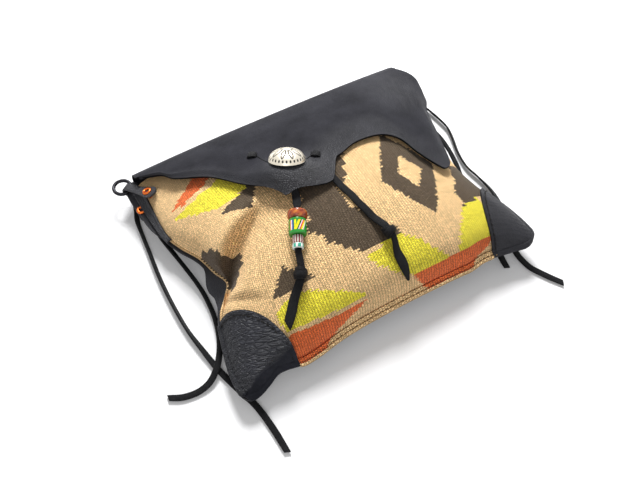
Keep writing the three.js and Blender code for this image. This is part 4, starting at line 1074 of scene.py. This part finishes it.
def seamAt(side, y):
    return float(outline(np.array(side), np.array(y / halfHeight))[0])


def tabFrame(side):
    # the tab's places: rivet on the front, neck where the ring's wire lies, rivet under the ear
    y = halfHeight - tab["frontRivetDown"]
    x = seamAt(side, y) - side * tab["frontRivetIn"]
    front = onFront(x, y, tab["lift"])
    neck = np.array([side * (halfWidth + tab["neckOut"]), halfHeight - tab["neckDown"], tab["neckRise"]])
    out = unit(np.array([neck[0] - x, neck[1] - y, 0]))
    tip = onFront(x - out[0] * tab["tip"], y - out[1] * tab["tip"], tab["lift"])
    brow = front + tab["brow"] * out
    fall = tab["browFall"]
    brow[2] = front[2] * (1 - fall) + (tab["neckRise"] + loopRadius) * fall + tab["browArch"]
    normal = unit(np.cross(np.cross(out, up), brow - tip))
    earY = halfHeight - tab["earRivetDown"]
    earU = np.array(side * (1 + tab["earShare"] * (seamU - 1)))
    earZ = backSkin(earU, uncrowd((earY - backMiddle) / backHalf))[2]
    earX = seamAt(side, earY) + side * (seamWidth + ear(earY) * tab["earShare"])
    return {"tip": tip, "front": front, "brow": brow, "neck": neck, "out": out, "normal": normal,
            "ear": np.array([earX, earY, earZ]), "under": earZ - pouch["lay"] - hide / 2}


def makeTab(name, places):
    # over the front from its tip, round the wire in a half circle, and back under the ear
    turn = math.pi / 2 - np.linspace(0, math.pi, 7)
    radial = np.cos(turn)[:, None] * places["out"] + np.sin(turn)[:, None] * up
    neck, earSpot, under = places["neck"], places["ear"], places["under"]
    low = np.array([neck + tab["bend"] * (earSpot - neck), earSpot, earSpot - [0, tab["tip"], 0]])
    low[:, 2] = under
    top = [places["tip"], places["front"], places["brow"]]
    stops = np.concatenate([top, neck + loopRadius * radial, low])
    facings = np.concatenate([np.tile(places["normal"], (3, 1)), radial, -np.tile(up, (3, 1))])
    rings = strip(stops, facings, tab["width"], hide, 10, tab["widths"])[1]
    addPiece("tab_" + name, tubes(rings[None]), leather["smooth"], "bag", "ring_tab_" + name, grain=0.8)


def makeRing(name, places):
    # round wire: a circle turned about the ring's axis, the right one hanging from its tab
    droop = ring["droop"][name]
    reach = places["out"] * math.cos(droop) - up * math.sin(droop)
    axis = places["out"] * math.sin(droop) + up * math.cos(droop)
    around = circle(ring["wirePoints"])
    profile = np.stack([ring["radius"] + ring["wire"] * np.cos(around), ring["wire"] * np.sin(around)], -1)
    wires = lathe(profile, ring["columns"], axis, places["neck"] + ring["radius"] * reach)
    made = addPiece("wire_ring_" + name, closedRing(wires), blackSteel, "ring_" + name, "ring_" + name)
    mark(made.data, "hollow", np.zeros(len(made.data.vertices)))


# radii of the head, shank, burr and bore; the rolled head; the radius within which the bore is painted dark
# as shade; the stand and grip of each rivet
rivet = {"radii": (4.2, 1.7, 2.9, 1.3), "roll": 1.25, "seat": 0.35, "crown": 1.05, "dark": 1.5,
         "columns": 40, "stand": 0.15, "frontGrip": 4.6, "backGrip": 1.4}


def makeRivet(name, head, normal, grip, node):
    # tubular rivet: rolled head with a hole down the middle, a turned-over burr at the far end
    wide, shank, burr, bore = rivet["radii"]
    turn = np.linspace(0, math.pi, 13)
    rolled = wide - rivet["roll"] * (1 - np.cos(turn))
    roll = np.stack([rolled, rivet["seat"] + rivet["crown"] * np.sin(turn)], -1)
    shaft = [(shank, 0.0), (bore + 0.05, -1.0), (bore, -grip - 0.9), (burr, -grip - 1.0), (burr, -grip),
             (shank, -grip), (shank, -0.1), (wide, 0.0)]
    profile = np.concatenate([roll, shaft])
    tube = closedRing(lathe(profile, rivet["columns"], normal, head))
    made = addPiece(name, tube, copper, "bag", node)
    # faces inside that radius take the dark colour: painted shade in the hole
    mark(made.data, "hollow", np.repeat(profile[:, 0] < rivet["dark"], rivet["columns"]))


tie = {"radius": 5.0, "back": 3.8, "width": 3.2, "thick": 1.8, "inset": 1.1, "gap": 0.3,
       "turns": ((0.9, -1.2, 1), (-0.9, 1.2, 1))}
for name, side in sides.items():
    places = tabFrame(side)
    makeTab(name, places)
    makeRing(name, places)
    head = places["front"] + (hide / 2 + rivet["stand"]) * places["normal"]
    grip = tab["lift"] + hide / 2 + pouch["woolThick"] + rivet["frontGrip"]
    makeRivet("eyelet_front_" + name, head, places["normal"], grip, "rivet_front_" + name)
    makeRivet("eyelet_back_" + name, places["ear"] + (hide + rivet["stand"]) * up, up,
              2 * hide + rivet["backGrip"], "rivet_back_" + name)
    ceiling = min(places["under"], places["neck"][2] - loopRadius) - hide / 2
    spot = places["neck"] * [1, 1, 0] + [0, -tie["back"], ceiling - tie["gap"] - tie["radius"]]
    wraps = loops(tie["turns"], tie["radius"] - tie["inset"], tie["width"], tie["thick"], (0, -1, 0), spot)
    addPiece("wrapped_tie_" + name, wraps, leather["lacing"], "bag", "lace_tie_" + name, grain=0.8)
print("tabs, rings, rivets and ties made")


# domed button: spun from sheet, stamped with petals and a ring of small ovals
concho = {"radius": 15.0, "rise": 9.8, "wall": 1.2, "lift": 0.7, "rows": 120, "columns": 360,
          # petals and ovals: count, distance from the middle, half length, half width; then the stamped line
          "insideRows": 20, "petals": (9, 6.3, 3.6, 1.6), "ovals": (28, 12.1, 1.15, 0.78), "line": 0.62,
          "stampDeep": 0.34, "rim": (15.3, 0.4, 0.4), "insideDark": 0.6}


def ellipsoid(radius, rise, fall, turn):
    return np.stack([radius * np.sin(fall) * np.cos(turn), radius * np.sin(fall) * np.sin(turn),
                     rise * np.cos(fall) + 0 * turn], -1)


def makeConcho():
    # dome: an ellipse in section less the stamps; radius by rows, angle by columns, then the hollow inside
    radius, rise, wall = concho["radius"], concho["rise"], concho["wall"]
    fall, turn = np.linspace(0, math.pi / 2, concho["rows"])[:, None], circle(concho["columns"])[None]
    reach = radius * fall / (math.pi / 2)
    count, middle, long, wide = concho["petals"]
    around = ((turn * count / (2 * math.pi)) % 1 - 0.5) * 2 * math.pi * radius * np.sin(fall) / count
    along, across = np.abs((reach - middle) / long), np.abs(around / wide)
    slope = 1.5 * np.hypot(along ** 0.5 / long, across ** 0.5 / wide) + 0.05
    petal = (along ** 1.5 + across ** 1.5 - 1) / slope
    count, middle, long, wide = concho["ovals"]
    around = ((turn * count / (2 * math.pi)) % 1 - 0.5) * 2 * math.pi * radius / count
    oval = ((reach - middle) / long) ** 2 + (around / wide) ** 2
    stamped = np.maximum(bell(petal / concho["line"]), smooth(-oval, -1.3, -0.7))
    middle, wide, high = concho["rim"]
    shrink = concho["stampDeep"] * stamped - high * bell((reach - middle) / wide)
    outer = ellipsoid(radius - shrink, rise - shrink, fall, turn)
    inside = np.linspace(math.pi / 2, 0.02, concho["insideRows"])[:, None]
    inner = ellipsoid(radius - wall, rise - wall, inside, turn)
    rings = np.concatenate([outer[1:], inner])
    dome = turnTo(rings, flapNormal(*flapCut["buttonAt"]), onFlap(*flapCut["buttonAt"], concho["lift"]))
    made = addPiece("stamped_concho", tubes(dome[None]), nickelSilver, "flap", "concho", sharp=80)
    # the stamps take their oxide; the inside of the dome is marked partly dark as painted shade under the
    # button
    mark(made.data, "hollow", np.concatenate([stamped[1:], np.full(inner.shape[:2], concho["insideDark"])]))


makeConcho()


# beads: the colours of each, and for the green one where its canes end round it and the colour of each cane
canes = {
    "bead_amber": ["#a34a20", "#c8742c", "#7e2f18"],
    "bead_green": ["#23902e", "#e8801f", "#f2efe6", "#23359a", "#f0e010", "#121212", "#d8251c"],
    "bead_striped": ["#7c2a30", "#ece2d8"],
    "bead_teal": ["#eef3ee", "#3fa58b"],
    "uprightEnds": [0.18, 0.244, 0.303, 0.355, 0.376, 0.445], "upright": [0, 1, 2, 3, 0, 4, 0],
    "slantedEnds": [0.532, 0.617, 0.631, 0.667, 0.705, 0.756, 0.817, 0.86],
    "slanted": [0, 4, 0, 5, 2, 6, 4, 2, 0], "turnedBy": 0.38, "slant": 0.24, "from": 0.17, "to": 0.8,
}
beadShape = {"columns": 144, "wallRows": 33, "play": 0.35, "belly": 0.12}


def beadColours(name, turn, height):
    # canes laid round each bead: turn from 0 to 1 round it, height from 0 to 1 along it
    if name == "bead_amber":
        swirl = np.sin(turn * 25 + 5 * height) + np.sin(turn * 44 - 9 * height + 1)
        pick = np.where(swirl > 1.0, 1, np.where(swirl < -1.1, 2, 0))
    elif name == "bead_green":
        # upright canes on the left, a slanted set on the right that meets them in a V; twice round the bead
        place = (canes["turnedBy"] - 2 * turn) % 1
        slanted = place + canes["slant"] * (height - canes["from"])
        upright = np.array(canes["upright"])[np.digitize(place, canes["uprightEnds"])]
        leaning = np.array(canes["slanted"])[np.digitize(slanted, canes["slantedEnds"])]
        pick = np.where(slanted > canes["slantedEnds"][0], leaning, upright)
        pick = np.where((height < canes["from"]) | (height > canes["to"]), 0, pick)
    elif name == "bead_striped":
        pick = np.where((turn * 13) % 1 < 0.42, 1, 0)
    else:
        pick = np.where(((turn * 7) % 1 < 0.6) & (np.abs(height - 0.5) < 0.4), 1, 0)
    return np.array([linear(cane) for cane in canes[name]])[pick]


def makeBead(name, middle):
    # barrel with rounded shoulders and a hole for the lace
    radius, length, rounding = beadRow[name]
    bore, end, columns = lacing["width"] / 2 + beadShape["play"], length / 2, beadShape["columns"]
    turn = np.linspace(0, math.pi / 2, 7)
    corner = np.stack([radius - rounding * (1 - np.cos(turn)), end - rounding * (1 - np.sin(turn))], -1)
    along = np.linspace(rounding - end, end - rounding, beadShape["wallRows"])
    walls = np.stack([radius + beadShape["belly"] * rounding * (1 - (along / end) ** 2), along], -1)
    profile = np.concatenate([[[bore, -end]], (corner * [1, -1])[::-1], walls[1:-1], corner, [[bore, end]]])
    barrel = closedRing(lathe(profile, columns, beadRun, middle))
    made = addPiece(name + "_glass", barrel, beadGlass, "flap", name, sharp=60)
    share = (profile[:, 1] + end) / length
    height = np.repeat((share + np.roll(share, -1)) / 2, columns)
    around = np.tile((np.arange(columns) + 0.5) / columns, len(profile))
    mark(made.data, "cane", beadColours(name, around, height), True)


for name, end in zip(beadNames, beadEnds):
    makeBead(name, beadStart + (end - beadRow["gap"] - beadRow[name][1] / 2) * beadRun)
print("button and beads made")


# floor and light
stage = {"floor": "#fbfbfc", "floorHalf": 4, "floorGlow": 0.08, "worldLight": 0.38, "aim": (0, 0, 0.03),
         "keyPlace": (0.45, 0.92, 1.1), "keyPower": 35.0, "keySize": 0.55,
         "fillPlace": (-0.7, -0.9, 1.0), "fillPower": 3.0, "fillSize": 0.8}


def makeFloor():
    # white paper that keeps the bag's shadow; a share of it is plain white to the camera
    mesh, half = bpy.data.meshes.new("floor"), stage["floorHalf"]
    corners = [(-half, -half, 0), (half, -half, 0), (half, half, 0), (-half, half, 0)]
    mesh.from_pydata(corners, [], [(0, 1, 2, 3)])
    made, tree, shader = newMaterial("white paper sweep")
    wire(tree, shader, {"Base Color": linear(stage["floor"]), "Roughness": 0.9, "Specular IOR Level": 0.1})
    rays = addNode(tree, "LightPath").outputs
    glow = addNode(tree, "Emission", {"Color": (1, 1, 1, 1), "Strength": 1.0}).outputs["Emission"]
    share = calculate(tree, "MULTIPLY", rays["Is Camera Ray"], stage["floorGlow"])
    both = addNode(tree, "MixShader", {0: share, 1: shader.outputs["BSDF"], 2: glow}).outputs["Shader"]
    wire(tree, tree.nodes["Material Output"], {"Surface": both})
    mesh.materials.append(made)
    addObject("floor", mesh)


def makeWorld():
    # white to the camera and in reflections, dimmer as light
    world = bpy.data.worlds.new("studio")
    world.use_nodes = True
    tree = world.node_tree
    rays = addNode(tree, "LightPath").outputs
    seen = calculate(tree, "MAXIMUM", rays["Is Camera Ray"], rays["Is Glossy Ray"])
    seen = calculate(tree, "MAXIMUM", seen, rays["Is Transmission Ray"])
    level = remap(tree, seen, 0.0, 1.0, stage["worldLight"])
    wire(tree, tree.nodes["Background"], {"Color": (1, 1, 1, 1), "Strength": level})
    bpy.context.scene.world = world


def makeLamp(name):
    lamp = bpy.data.lights.new(name, "AREA")
    lamp.energy = stage[name + "Power"]
    lamp.shape = "DISK"
    lamp.size = stage[name + "Size"]
    addObject(name, lamp, stage[name + "Place"], stage["aim"])


makeFloor()
makeWorld()
makeLamp("key")
makeLamp("fill")
bpy.context.scene.view_settings.view_transform = "Standard"
print("floor and light made")
